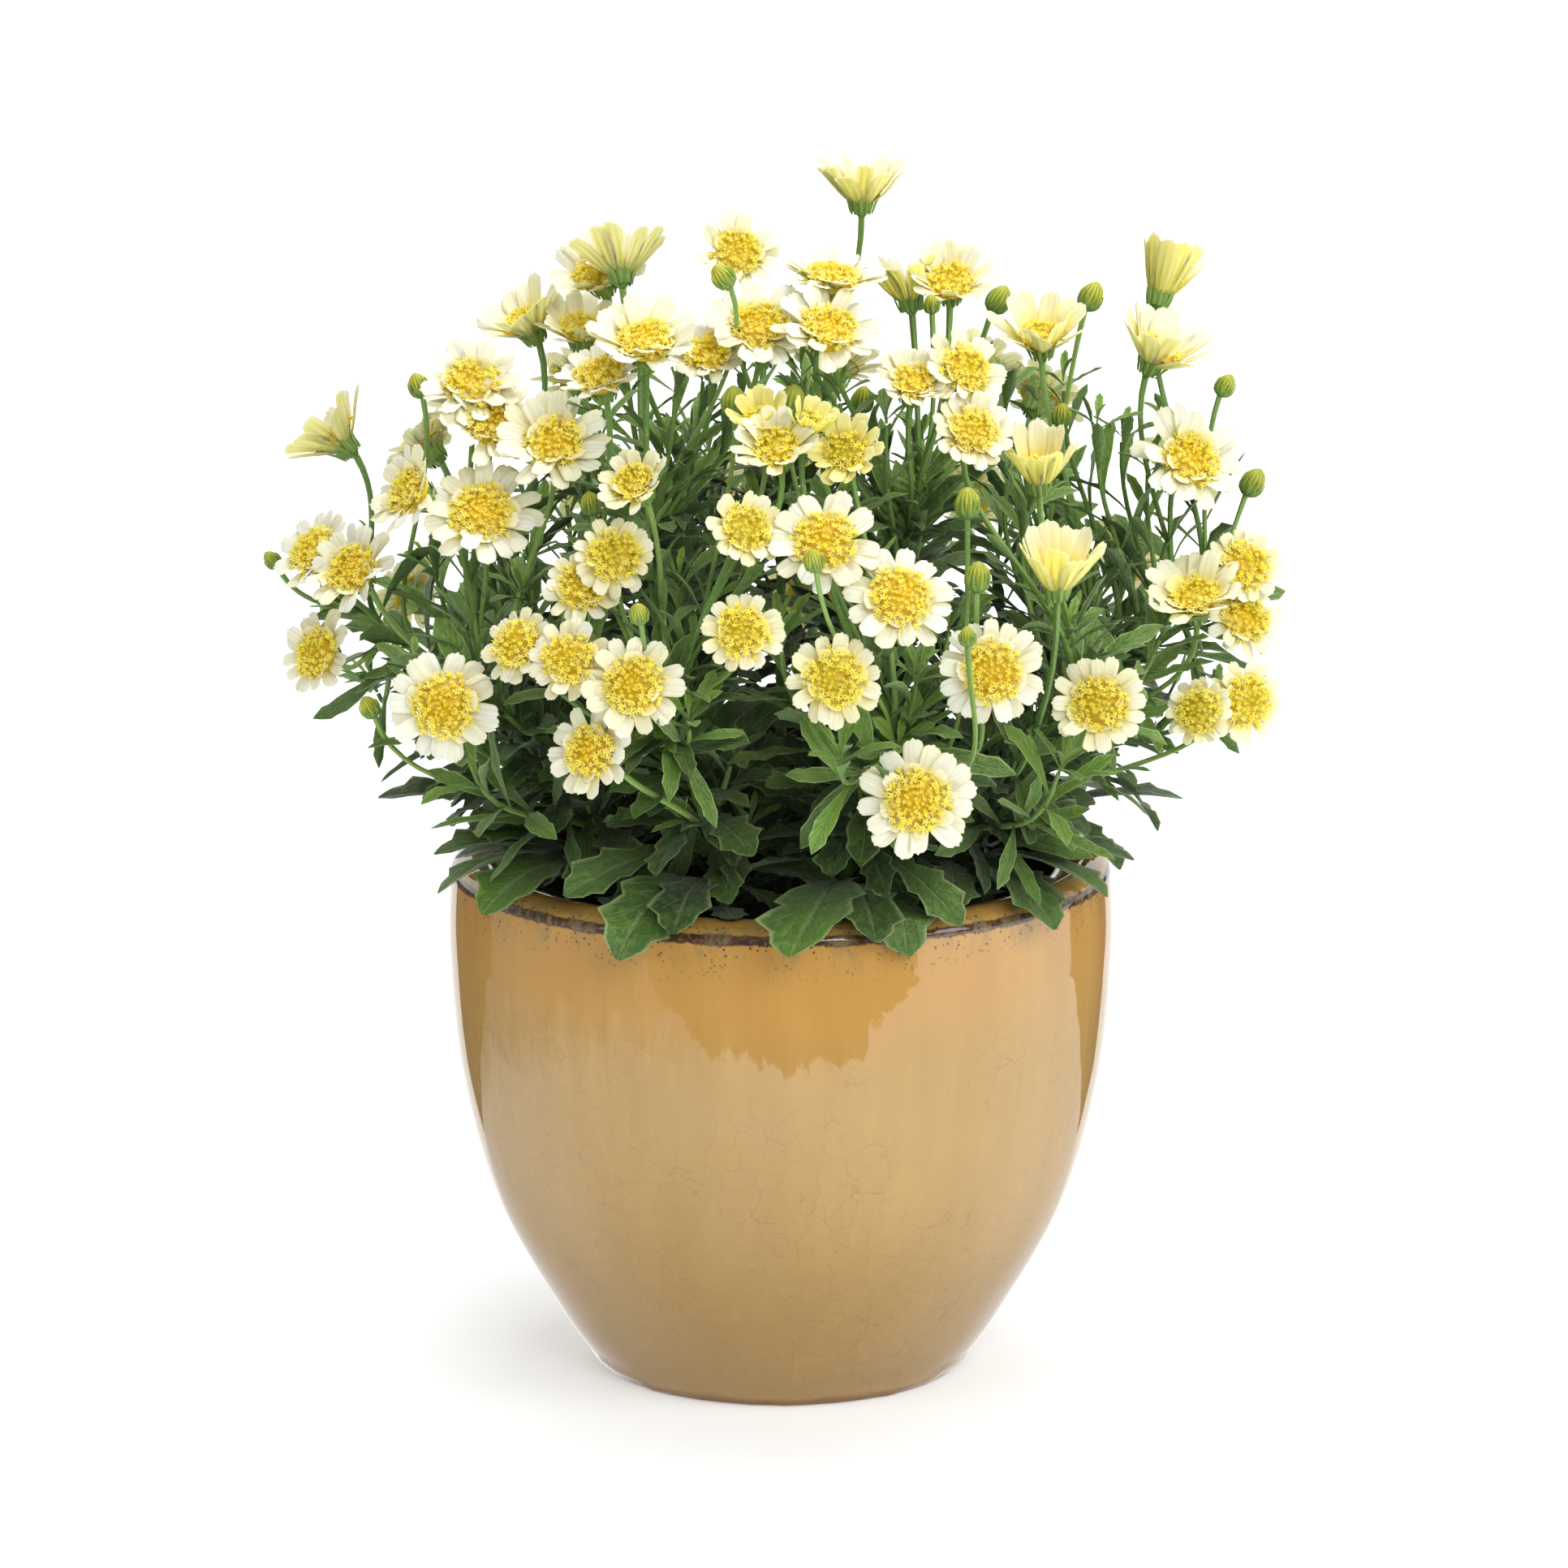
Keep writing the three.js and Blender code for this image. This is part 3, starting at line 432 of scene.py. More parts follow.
def add_lathe(sheaf, profile, sides, finish, wobble, **marks):
    """A closed ring of a closed profile of (radius, height), turned round the upright axis."""
    profile = np.asarray(profile, float)
    rows = len(profile)
    angle = round_angles(sides)
    radius, height = (np.repeat(profile[:, k : k + 1], sides, axis=1) for k in (0, 1))
    radius, height = wobble(radius, height, angle[None, :])
    points = np.stack([radius * np.cos(angle), radius * np.sin(angle), height], -1)
    i, j = np.meshgrid(np.arange(rows), np.arange(sides), indexing="ij")
    up, over = (i + 1) % rows, (j + 1) % sides
    quads = [i * sides + j, i * sides + over, up * sides + over, up * sides + j]
    sheaf.add(points, np.stack(quads, -1).reshape(-1, 4), finish, **marks)


# ---------------------------------------------------------------- finishes


def srgb(red, green, blue):
    """A screen colour, 0 to 255, as the linear colour that a shader takes."""
    channels = [c / 255 for c in (red, green, blue)]
    linear = [c / 12.92 if c <= 0.04045 else ((c + 0.055) / 1.055) ** 2.4 for c in channels]
    return (*linear, 1.0)


def sums(operation):
    """A method that does one operation with a wire and with what it is given."""

    def method(wire, *others):
        return wire.maths(operation, wire, *others)

    return method


class Wire:
    """A socket of a finish whose numbers can be used in expressions."""

    def __init__(self, finish, socket):
        self.finish, self.socket = finish, socket

    def maths(self, operation, *values, clamp=False):
        inputs = dict(enumerate(values))
        return self.finish.node("Math", inputs, operation=operation, use_clamp=clamp)

    __add__ = __radd__ = sums("ADD")
    __mul__ = __rmul__ = sums("MULTIPLY")
    __sub__, __pow__, most = sums("SUBTRACT"), sums("POWER"), sums("MAXIMUM")
    sine, cosine, fraction, size = sums("SINE"), sums("COSINE"), sums("FRACT"), sums("ABSOLUTE")

    def __rsub__(self, other):
        return self.maths("SUBTRACT", other, self)

    def clamp(self):
        return self.maths("ADD", self, 0.0, clamp=True)

    def ramp(self, low, high):
        """0 below low and 1 above high, smooth between them. With low above high it falls."""
        inputs = {0: self, 1: low, 2: high, 3: 0.0, 4: 1.0}
        return self.finish.node("MapRange", inputs, interpolation_type="SMOOTHSTEP")

    def fall(self, low, high):
        """1 below low and 0 above high, smooth between them."""
        return 1.0 - self.ramp(low, high)


class Recipe:
    """A node tree, written as expressions."""

    def __init__(self, tree):
        self.tree = tree
        self.tree.nodes.clear()

    def node(self, kind, inputs=None, output=0, stops=(), **settings):
        made = self.tree.nodes.new("ShaderNode" + kind)
        for setting, value in settings.items():
            setattr(made, setting, value)
        while stops and len(made.color_ramp.elements) < len(stops):
            made.color_ramp.elements.new(0.5)
        for k, (place, colour) in enumerate(stops):
            element = made.color_ramp.elements[k]
            element.position, element.color = place, colour
        for key, value in (inputs or {}).items():
            if isinstance(value, Wire):
                self.tree.links.new(value.socket, made.inputs[key])
            else:
                made.inputs[key].default_value = value
        return Wire(self, made.outputs[output])

    def mark(self, name):
        return self.node("Attribute", output="Fac", attribute_name=name)

    def place(self):
        """The point in the frame, in metres."""
        return self.node("TexCoord", output="Object")

    def stretched(self, point, upward):
        return self.node("VectorMath", {0: point, 1: (1.0, 1.0, upward)}, operation="MULTIPLY")

    def point_of(self, x, y, z):
        return self.node("CombineXYZ", {0: x, 1: y, 2: z})

    def noise(self, point, scale, detail=2.0, rough=0.5):
        inputs = {"Vector": point, "Scale": scale, "Detail": detail, "Roughness": rough}
        return self.node("TexNoise", inputs)

    def cells(self, point, scale, feature="F1"):
        return self.node("TexVoronoi", {"Vector": point, "Scale": scale}, feature=feature)

    def mix(self, share, one, other):
        return self.node("Mix", {0: share, 6: one, 7: other}, output=2, data_type="RGBA")

    def coats(self, colour, *coats):
        """A colour with others laid over it in turn, each at its own share."""
        for share, coat in coats:
            colour = self.mix(share, colour, coat)
        return colour

    def bump(self, height, strength, distance):
        inputs = {"Strength": strength, "Distance": distance, "Height": height}
        return self.node("Bump", inputs)

    def surface(self, colour, roughness, normal=None, **constants):
        inputs = {"Base Color": colour, "Roughness": roughness}
        if normal is not None:
            inputs["Normal"] = normal
        for key, value in constants.items():
            inputs[key.replace("_", " ").title().replace("Ior", "IOR")] = value
        self.finish_with(self.node("BsdfPrincipled", inputs), "OutputMaterial")

    def tissue(self, colour, roughness, normal, weight, *reach):
        """A living surface, which light goes a little way into."""
        depth = {"subsurface_radius": reach, "subsurface_scale": 1.0}
        self.surface(colour, roughness, normal, subsurface_weight=weight, **depth)

    def finish_with(self, shader, kind):
        end = self.tree.nodes.new("ShaderNode" + kind)
        self.tree.links.new(shader.socket, end.inputs["Surface"])


def finish(*names):
    """Makes the finishes of these names by the recipe below it."""

    def make(recipe):
        for name in names:
            material = FINISHES[name] = bpy.data.materials.new(name)
            material.use_nodes = True
            tree = Recipe(material.node_tree)
            recipe(tree, *(tree.mark(mark) for mark in MARKS), name)
        return recipe

    return make


CREAM = srgb(250, 250, 232)
IVORY = srgb(250, 244, 190)
BUTTER = srgb(250, 226, 120)
PETAL_VEIN = srgb(214, 204, 164)
PETAL_GLOW = srgb(252, 228, 84)
LEMON = srgb(248, 238, 112)
UNDER_CREAM = srgb(250, 243, 196)
UNDER_YELLOW = srgb(243, 226, 92)
UNDER_STRIPE = srgb(184, 184, 56)
UNDER_FOOT = srgb(204, 206, 76)
YOLK = srgb(255, 234, 36)
YOLK_PALE = srgb(255, 240, 84)
AMBER = srgb(248, 200, 16)
OLIVE = srgb(196, 178, 28)
STRAW = srgb(255, 249, 208)
LIME = srgb(178, 190, 50)
CALYX_DARK = srgb(86, 128, 44)
CALYX_PALE = srgb(140, 168, 66)
CALYX_EDGE = srgb(196, 206, 140)
CALYX_GRAIN = srgb(70, 108, 40)
LEAF_DARK = srgb(34, 65, 22)
LEAF_MID = srgb(102, 144, 46)
LEAF_YOUNG = srgb(140, 184, 54)
# painted highlight on the tops of the quilted leaf bumps
LEAF_BUMP_HIGHLIGHT = srgb(150, 184, 78)
LEAF_GREY = srgb(140, 160, 112)
LEAF_VEIN = srgb(150, 178, 108)
LEAF_EDGE = srgb(174, 194, 134)
LEAF_BACK = srgb(112, 140, 92)
# painted shade for the leaves deep inside the bush
LEAF_PAINTED_SHADE = srgb(18, 36, 14)
STEM_DARK = srgb(84, 124, 48)
STEM_PALE = srgb(138, 172, 78)
STEM_BROWN = srgb(96, 84, 46)
STEM_RIB = srgb(70, 104, 42)
STEM_DOWN = srgb(196, 210, 160)
BUD_YELLOW = srgb(170, 176, 50)
BUD_BRIGHT = srgb(226, 214, 60)
BUD_GREEN = srgb(104, 136, 40)
BUD_TIP = srgb(140, 150, 44)
HONEY_DEEP = srgb(176, 130, 64)
HONEY = srgb(196, 151, 82)
# a darker glaze colour for the bottom of the pot
HONEY_LOWER = srgb(151, 122, 77)
SAND_DEEP = srgb(165, 130, 70)
SAND = srgb(182, 147, 84)
GLAZE_STREAK = srgb(206, 168, 104)
GLAZE_DOT = srgb(150, 106, 50)
GLAZE_CRAZE = srgb(128, 92, 48)
GLAZE_HAZE = srgb(138, 122, 84)
UMBER_DARK = srgb(42, 22, 18)
UMBER = srgb(98, 68, 61)
PIT = srgb(56, 52, 46)
GLAZE_FOOT = srgb(104, 70, 36)
FLOOR_PALE = srgb(245, 250, 254)
FLOOR_GREY = srgb(241, 246, 250)
SOIL_FLECK = srgb(104, 82, 60)
SOILS = [(0.3, srgb(20, 15, 12)), (0.55, srgb(46, 34, 26)), (0.75, srgb(78, 58, 42))]
# the middle of the bush and its reach, for the painted shade on the leaves inside it
BUSH_MIDDLE, BUSH_REACH = (0.0, 0.0, 0.27), 0.21


@finish("petal_upper")
def petal_upper(f, along, across, tone, youth, *_):
    lines = f.noise(f.point_of(across * 11.0, along * 0.7, tone * 90.0), 1.0, 3.0, 0.6)
    edge = (across.size().ramp(0.8, 1.0) + along.ramp(0.93, 1.0)).clamp()
    flush = along.fall(0.16, 0.68) * 0.95 + youth * 0.5 * along.fall(0.45, 1.0)
    colour = f.coats(
        CREAM,
        ((tone * 0.7 + youth * 0.6).clamp(), IVORY),
        (lines.ramp(0.46, 0.7) * 0.55, PETAL_VEIN),
        (edge * (tone * 0.35 + 0.12), BUTTER),
        (flush.clamp(), PETAL_GLOW),
        (youth.ramp(0.75, 0.95) * 0.6, LEMON),
    )
    normal = f.bump(lines, 0.4, 0.0006)
    f.tissue(colour, lines * 0.12 + 0.5, normal, 0.35, 0.003, 0.0029, 0.0024)


@finish("petal_under")
def petal_under(f, along, across, tone, youth, *_):
    lines = f.noise(f.point_of(across * 7.0, along * 0.8, tone * 60.0), 1.0, 3.0, 0.6)
    stripe = ((across * 9.4).cosine() * -0.5 + 0.5).ramp(0.35, 0.85)
    green = (stripe * along.fall(0.35, 1.0) * 0.75 + stripe * youth * 0.35).clamp()
    colour = f.coats(
        UNDER_CREAM,
        ((youth * 0.9 + tone * 0.25).clamp(), UNDER_YELLOW),
        (green * lines.ramp(0.25, 0.55), UNDER_STRIPE),
        (along.fall(0.0, 0.5) * 0.55, UNDER_FOOT),
    )
    f.tissue(colour, 0.55, f.bump(lines, 0.25, 0.0004), 0.7, 0.003, 0.0029, 0.002)


@finish("floret")
def floret(f, along, across, tone, youth, *_):
    outer = across.ramp(0.1, 0.8) * 0.8 + 0.2
    colour = f.coats(
        f.mix(tone * 0.8, AMBER, OLIVE),
        (along.ramp(0.28, 0.66), f.mix(across.ramp(0.3, 1.0) * 0.5 + tone * 0.3, YOLK, YOLK_PALE)),
        ((along.ramp(0.66, 0.98) * outer * (tone * 0.7 + 0.6)).clamp(), STRAW),
        (youth * 0.5 * across.fall(0.1, 0.9), LIME),
    )
    normal = f.bump(f.noise(f.place(), 700.0), 0.15, 0.0003)
    f.tissue(colour, 0.5, normal, 0.35, 0.003, 0.002, 0.0006)


@finish("calyx")
def calyx(f, along, across, tone, *_):
    grain = f.noise(f.place(), 900.0)
    colour = f.coats(
        CALYX_DARK,
        (along * 0.7 + tone * 0.3, CALYX_PALE),
        (across.size().ramp(0.55, 1.0) * 0.5, CALYX_EDGE),
        (grain * 0.35, CALYX_GRAIN),
    )
    f.surface(colour, 0.6, f.bump(grain, 0.3, 0.0003))


@finish("leaf_upper", "leaf_under")
def leaf(f, along, across, tone, youth, name):
    """Quilted and a little hoary, with painted highlights on its quilted bumps. Leaves inside the
    bush are darkened with painted shade towards its middle.
    """
    under, off, spot = name == "leaf_under", across.size(), f.place()
    quilt = f.noise(spot, 260.0, 3.0, 0.55)
    grain = f.noise(spot, 1500.0, 2.0, 0.6)
    slant = (along * 8.0 - off * 2.2 + tone * 0.5).fraction()
    vein = (slant - 0.5).size().fall(0.0, 0.09) * off.fall(0.75, 0.95)
    rib = off.fall(0.03, 0.13) * (1.0 - along.ramp(0.75, 1.0) * 0.6)
    age = (tone * 0.7 + f.noise(spot, 45.0) * 0.9 - 0.35).clamp()
    young = f.coats(LEAF_DARK, (age, LEAF_MID), (youth, LEAF_YOUNG))
    colour = f.coats(
        young,
        # painted highlight where the quilt pattern rises into bumps
        (quilt.ramp(0.45, 0.7) * 0.55, f.mix(0.5, young, LEAF_BUMP_HIGHLIGHT)),
        (grain.ramp(0.52, 0.74) * (0.32 if under else 0.28), LEAF_GREY),
        ((vein * 0.16 + rib * 0.5).clamp(), LEAF_VEIN),
        (off.ramp(0.8, 1.0) * 0.7, LEAF_EDGE),
    )
    if under:
        colour = f.mix(0.42, colour, LEAF_BACK)
    # painted shade: leaves darken towards the middle of the bush, where shade falls
    inward = f.node("VectorMath", {0: spot, 1: BUSH_MIDDLE}, operation="SUBTRACT")
    skin = f.node("VectorMath", {0: inward}, output="Value", operation="LENGTH") * (1 / BUSH_REACH)
    colour_with_painted_shade = f.mix(skin.fall(0.56, 0.92) * 0.6, colour, LEAF_PAINTED_SHADE)
    rough = grain * 0.14 + (0.52 if under else 0.36)
    normal = f.bump(quilt * 0.8 + grain * 0.25 - vein * 0.3 - rib * 0.6, 0.85, 0.002)
    down = {"sheen_weight": 0.15, "sheen_roughness": 0.4, "specular_ior_level": 0.5}
    f.surface(colour_with_painted_shade, rough, normal, **down)


@finish("stalk_skin")
def stalk_skin(f, _along, across, tone, youth, *_):
    grain = f.noise(f.stretched(f.place(), 0.35), 1400.0, 2.0, 0.6)
    colour = f.coats(
        STEM_DARK,
        (tone, STEM_PALE),
        ((1.0 - youth) * 0.8, STEM_BROWN),
        (((across * 44.0).sine() * 0.5 + 0.5) * 0.3, STEM_RIB),
        (grain.ramp(0.58, 0.72) * 0.4, STEM_DOWN),
    )
    f.surface(colour, 0.55, f.bump(grain, 0.5, 0.0004), sheen_weight=0.2, sheen_roughness=0.4)


@finish("bud_petal")
def bud_petal(f, along, across, tone, *_):
    fold = ((across * 87.96).cosine() * 0.5 + 0.5).ramp(0.25, 0.75)
    yellow, green = f.mix(tone, BUD_YELLOW, BUD_BRIGHT), f.mix(along, BUD_GREEN, BUD_TIP)
    normal = f.bump(f.noise(f.place(), 800.0), 0.2, 0.0003)
    f.surface(f.mix(fold * 0.8, green, yellow), 0.5, normal)


@finish("honey_glaze")
def honey_glaze(f, _along, _across, rim, pit_zone, *_):
    """It runs down the wall, breaks dark with pits at the rim, and crazes in the fire."""
    spot = f.place()
    runs = f.noise(f.stretched(spot, 0.09), 42.0, 3.0, 0.6)
    fine_runs = f.noise(f.stretched(spot, 0.05), 260.0, 3.0, 0.6)
    ragged = f.noise(f.stretched(spot, 0.45), 110.0, 4.0, 0.7)
    clouds = f.noise(spot, 9.0, 3.0, 0.5)
    speckle = f.noise(spot, 520.0, 2.0, 0.6)
    height = f.node("SeparateXYZ", {0: spot}, output="Z")
    changing = (runs * 1.3 - 0.3 + (clouds - 0.5) * 0.8).clamp()
    craze = f.cells(f.mix(0.02, spot, f.noise(spot, 60.0)), 88.0, "DISTANCE_TO_EDGE")
    worn = f.noise(spot, 13.0, 1.0).ramp(0.36, 0.56) * height.fall(0.17, 0.2)
    band = (rim * 1.1 + ragged * 1.3 - 0.65).ramp(0.6, 0.9)
    mottle = ragged * 0.45 + f.noise(spot, 380.0, 3.0, 0.65) * 0.55
    pits = f.cells(spot, 400.0).fall(0.16, 0.34)
    pitted = (pits * f.noise(spot, 110.0).ramp(0.4, 0.54) * pit_zone).clamp()
    colour = f.coats(
        f.mix(changing, HONEY_DEEP, HONEY),
        ((height + (clouds - 0.5) * 0.06).ramp(0.215, 0.15), f.mix(changing, SAND_DEEP, SAND)),
        # darker towards the bottom of the pot
        (height.fall(0.0, 0.15) * 0.8, HONEY_LOWER),
        (fine_runs.ramp(0.5, 0.72) * 0.08, GLAZE_STREAK),
        (speckle.ramp(0.66, 0.74) * 0.2, GLAZE_DOT),
        (craze.fall(0.004, 0.022) * worn * 0.34, GLAZE_CRAZE),
        (band * 0.94, f.mix(mottle.ramp(0.44, 0.62), UMBER_DARK, UMBER)),
        ((pit_zone * ragged.ramp(0.42, 0.7)).ramp(0.1, 0.9) * 0.5, GLAZE_HAZE),
        (pitted * 0.85, PIT),
        (height.fall(0.002, 0.006) * 0.6, GLAZE_FOOT),
    )
    rough = speckle * 0.06 + band * 0.1 + 0.2
    normal = f.bump(runs * 0.4 + (1.0 - pitted) * 0.5 + clouds * 0.3, 0.12, 0.0012)
    coat = {"coat_weight": 1.0, "coat_roughness": 0.03, "coat_ior": 1.6}
    f.surface(colour, rough, normal, specular_ior_level=0.0, **coat)


@finish("potting_mix")
def potting_mix(f, *_):
    lumps = f.noise(f.place(), 160.0, 5.0, 0.7)
    base = f.node("ValToRGB", {0: lumps}, stops=SOILS)
    colour = f.mix(f.cells(f.place(), 420.0).fall(0.1, 0.3) * 0.4, base, SOIL_FLECK)
    f.surface(colour, 0.95, f.bump(lumps, 0.9, 0.003))


@finish("studio_floor")
def studio_floor(f, *_):
    """A pale light table: it glows a little, so that shadows on it stay small and soft."""
    colour = f.mix(f.noise(f.place(), 3.0) * 0.3, FLOOR_PALE, FLOOR_GREY)
    f.surface(colour, 0.7, emission_color=(1, 1, 1, 1), emission_strength=0.33)


# ---------------------------------------------------------------- pot and compost

INSIDE_LEVELS = (205, 180, 150, 115, 80, 54, 28)
POT_SIDES, COMPOST_SIDES, COMPOST_RINGS = 130, 110, 34
RIM_EDGE, PIT_ZONE = (0.6, 4.2), (208, 229)
COMPOST_GAP, LUMPS, CHIPS = 1.2, 40, 420
CHIP_SMALL, CHIP_LARGE = (1.6, 0.9, 0.5), (5.2, 2.8, 1.4)


def inner_radius(height):
    wall = catmull(WALL_POINTS, 120)
    return float(np.interp(height, wall[:, 1], wall[:, 0])) - WALL


def pot_profile():
    """Radius and height of the pot's section: up the wall, over the lip, and back down inside."""
    crown, mouth = RIM_HEIGHT + LIP_RISE, RIM_RADIUS - LIP_WIDTH
    lip = [
        (RIM_RADIUS - 0.6, RIM_HEIGHT + 1.6), (RIM_RADIUS - 4, crown - 2),
        (RIM_RADIUS - 11, crown), (mouth + 3, crown - 3),
        (mouth, crown - LIP_DEPTH + 1), (mouth + 3, crown - LIP_DEPTH - 3),
    ]
    inner_foot = FOOT_RADIUS - FOOT_WIDTH
    floor = [
        (inner_radius(FLOOR_HEIGHT) - FLOOR_CORNER, FLOOR_HEIGHT), (DRAIN_RADIUS, FLOOR_HEIGHT),
        (DRAIN_RADIUS, FOOT_RECESS), (inner_foot - 2, FOOT_RECESS),
        (inner_foot, 0), (FOOT_RADIUS - 1.4, 0),
    ]
    outside = [(FOOT_RADIUS + 0.2, 0.9), *catmull(WALL_POINTS, 90)[1:]]
    inside = [(inner_radius(h), h) for h in INSIDE_LEVELS]
    return np.array([*outside, *catmull(lip, 26), *inside, *floor])


def thrown(radius, height, angle):
    """A hand-made pot: slightly out of round, with a thick uneven roll of glaze above the foot."""
    outside = smooth(90, 120, radius)
    radius = radius - outside * (0.5 + 0.35 * np.sin(2 * angle + 0.6) + 0.15 * np.sin(5 * angle))
    drip = 4.5 + 1.6 * np.sin(9 * angle) + 1.1 * np.sin(23 * angle + 1.3)
    drip = drip + 0.8 * np.sin(41 * angle)
    roll = np.exp(-(((height - drip) / 2.2) ** 2)) * (radius > 80) * (height < 16) * (height > 0.4)
    wave = 0.35 * np.sin(3 * angle + 1) * smooth(226, 236, height) * smooth(110, 130, radius)
    return radius + 0.9 * roll, height + wave


def make_pot():
    """The pot. Its tone is the nearness to the rim's outer edge, its youth the zone of pits."""
    sheaf, profile = Sheaf("glazed_pot"), pot_profile()
    radius, height = profile.T
    edge = np.hypot(radius - (RIM_RADIUS - 1), (height - RIM_HEIGHT) * 0.8)
    marks = {
        "along": np.linspace(0, 1, len(profile)),
        "tone": np.where(radius > 118, 1 - smooth(*RIM_EDGE, edge), 0.0),
        "youth": np.where(radius > 145, smooth(*PIT_ZONE, height), 0.0),
    }
    marks = {mark: np.repeat(values, POT_SIDES) for mark, values in marks.items()}
    add_lathe(sheaf, profile, POT_SIDES, "honey_glaze", thrown, **marks)
    sheaf.piece("glaze", "pot", sharp=40)


def add_chips(sheaf, edge):
    """Bits of bark that lie on the compost."""
    corners = np.array([(x, y, z) for x in (-1, 1) for y in (-1, 1) for z in (-1, 1)], float)
    box = [(0, 1, 3, 2), (4, 6, 7, 5), (0, 4, 5, 1), (2, 3, 7, 6), (0, 2, 6, 4), (1, 5, 7, 3)]
    for _ in range(CHIPS):
        bearing, radius = chance.uniform(0, 360), edge * math.sqrt(chance.uniform(0.02, 0.96))
        turn = np.linalg.qr(chance.normal(size=(3, 3)))[0]
        turn *= np.sign(np.linalg.det(turn))
        size = chance.uniform(CHIP_SMALL, CHIP_LARGE)
        chip = corners * size * chance.uniform(0.7, 1.15, (8, 1))
        spot = polar(radius, bearing, COMPOST_TOP + chance.uniform(-0.6, 1.6))
        sheaf.add(chip @ turn.T + spot, np.array(box), "potting_mix")


def make_compost():
    sheaf = Sheaf("potting_mix")
    edge, bottom = inner_radius(COMPOST_TOP) - COMPOST_GAP, FLOOR_HEIGHT + 0.4
    profile = [
        (0.5, bottom), (inner_radius(FLOOR_HEIGHT) - FLOOR_CORNER - 1, bottom),
        *[(inner_radius(h) - COMPOST_GAP, h) for h in INSIDE_LEVELS[::-1]],
        *[(r, COMPOST_TOP) for r in np.linspace(0.5, edge - 1, COMPOST_RINGS)[::-1]],
    ]
    starts = chance.uniform(0, 2 * math.pi, (LUMPS, 2))[:, 0]
    waves = chance.uniform(-0.28, 0.28, (LUMPS, 2))

    def lumpy(radius, height, angle):
        x, y = radius * np.cos(angle), radius * np.sin(angle)
        rise = sum(np.sin(x * wx + y * wy + start) for (wx, wy), start in zip(waves, starts))
        upper = height > COMPOST_TOP - 2
        top = upper * smooth(edge, edge - 8, radius)
        return radius, height + np.clip(rise * 0.45, -3, 3.4) * top - 2.5 * upper * (1 - top)

    add_lathe(sheaf, profile, COMPOST_SIDES, "potting_mix", lumpy)
    add_chips(sheaf, edge)
    sheaf.piece("compost", "compost", sharp=35)


make_pot()
make_compost()

# ---------------------------------------------------------------- shoots and stalks

STEM_SIDES, STEM_ROWS, STEM_RIBS, STEM_DEPTH = 10, 26, 5, 14
STALK_SIDES, STALK_ROWS, STALK_RIBS = 8, 18, 4
STALK_RISE, STALK_STARTS, NECK, NECK_DROP = 85, np.arange(0.2, 0.97, 0.06), 30, 22


class Shoot:
    """One leafy shoot: the line of its stem, and the solid of the frame that it follows."""

    def __init__(self, index, bearing, foot, tip, height, outer):
        self.index, self.bearing, self.outer = index, bearing, outer
        self.leaves, self.lowest_leaf = (12, 0.2) if outer else (6, 0.3)
        self.name = f"shoot_{index + 1:02d}"
        start, end = polar(foot, bearing, COMPOST_TOP), polar(tip, bearing, height)
        knee = spread_between(start, end, STEM_LEAN)
        knee[2] = spread_between(COMPOST_TOP, height, STEM_RISE)
        self.controls = (start, knee, end)
        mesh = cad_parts[self.name].data
        corners = [tuple(v.co / MM) for v in mesh.vertices]
        self.solid = BVHTree.FromPolygons(corners, [tuple(p.vertices) for p in mesh.polygons])
        self.sheaf = Sheaf(f"leafy_{self.name}")

    def at(self, share):
        return bezier(self.controls, share)

    def way(self, share):
        a, b, c = self.controls
        return unit((b - a) * (1 - share) + (c - b) * share)

    def off(self, points):
        """Mean distance from the points to the frame's solid."""
        return float(np.mean([self.solid.find_nearest(tuple(p))[3] for p in points]))


def make_shoots():
    shoots = []
    for count, bearing, foot, tip, height, outer in SHOOT_RINGS:
        for k in range(count):
            index = len(shoots)
            if outer and k % OUTLIER_EVERY == 0:
                far, high = tip + OUTLIER_EXTRA, height + OUTLIER_RISE
            else:
                far = tip + UNEVEN_TIP * (draw(index, 1) - 0.5)
                high = height + UNEVEN_HEIGHT * (draw(index, 2) - 0.5)
            shoots.append(Shoot(index, bearing + 360 * k / count, foot, far, high, outer))
    return shoots


shoots = make_shoots()


def add_stem(shoot):
    share = np.linspace(0, 1, STEM_ROWS)
    path = np.concatenate([[shoot.at(0) - UP * STEM_DEPTH], shoot.at(share)])
    radii = spread_between(STEM_FOOT, STEM_TIP * 0.8, share) * (1 + 0.12 * np.sin(share * 40) ** 4)
    radii = np.concatenate([[STEM_FOOT], radii])
    age = np.concatenate([[0.1], 0.15 + 0.85 * smooth(0, 0.6, share)])
    youth = np.concatenate([np.repeat(age, STEM_SIDES), [0.1, 1.0]])
    ribs = (STEM_RIBS, 0.06)
    add_tube(shoot.sheaf, path, radii, STEM_SIDES, "stalk_skin", *ribs, tone=0.3, youth=youth)


def line_to(here, way, end, face):
    """A stalk's line: it leaves along its shoot, rises, and bends over to where the head faces."""
    span = np.linalg.norm(end - here)
    neck, drop = min(NECK, 0.3 * span), UP * min(NECK_DROP, 0.2 * span)
    return (here, here + unit(way + UP * 0.4) * span * 0.36, end - face * neck - drop, end)


def route_of(end, face, own=None):
    """The shoot, and the line along which a stalk rises to its flower or bud from there."""
    best = None
    for shoot in shoots:
        for start in STALK_STARTS:
            root = shoot.at(start)
            here = root if own is None else spot_of(*own)
            rise, flat = end[2] - here[2], math.hypot(*(end - here)[:2])
            cost = flat * 1.3 + abs(rise - STALK_RISE) + 1.6 * max(0.0, flat - 0.7 * rise)
            if own is not None:
                cost = np.linalg.norm(root - here)
            if best is None or cost < best[0]:
                line = line_to(here, shoot.way(start), end, face)
                best = (cost, shoot, line if own is None else (root, *line))
    return best[1:]


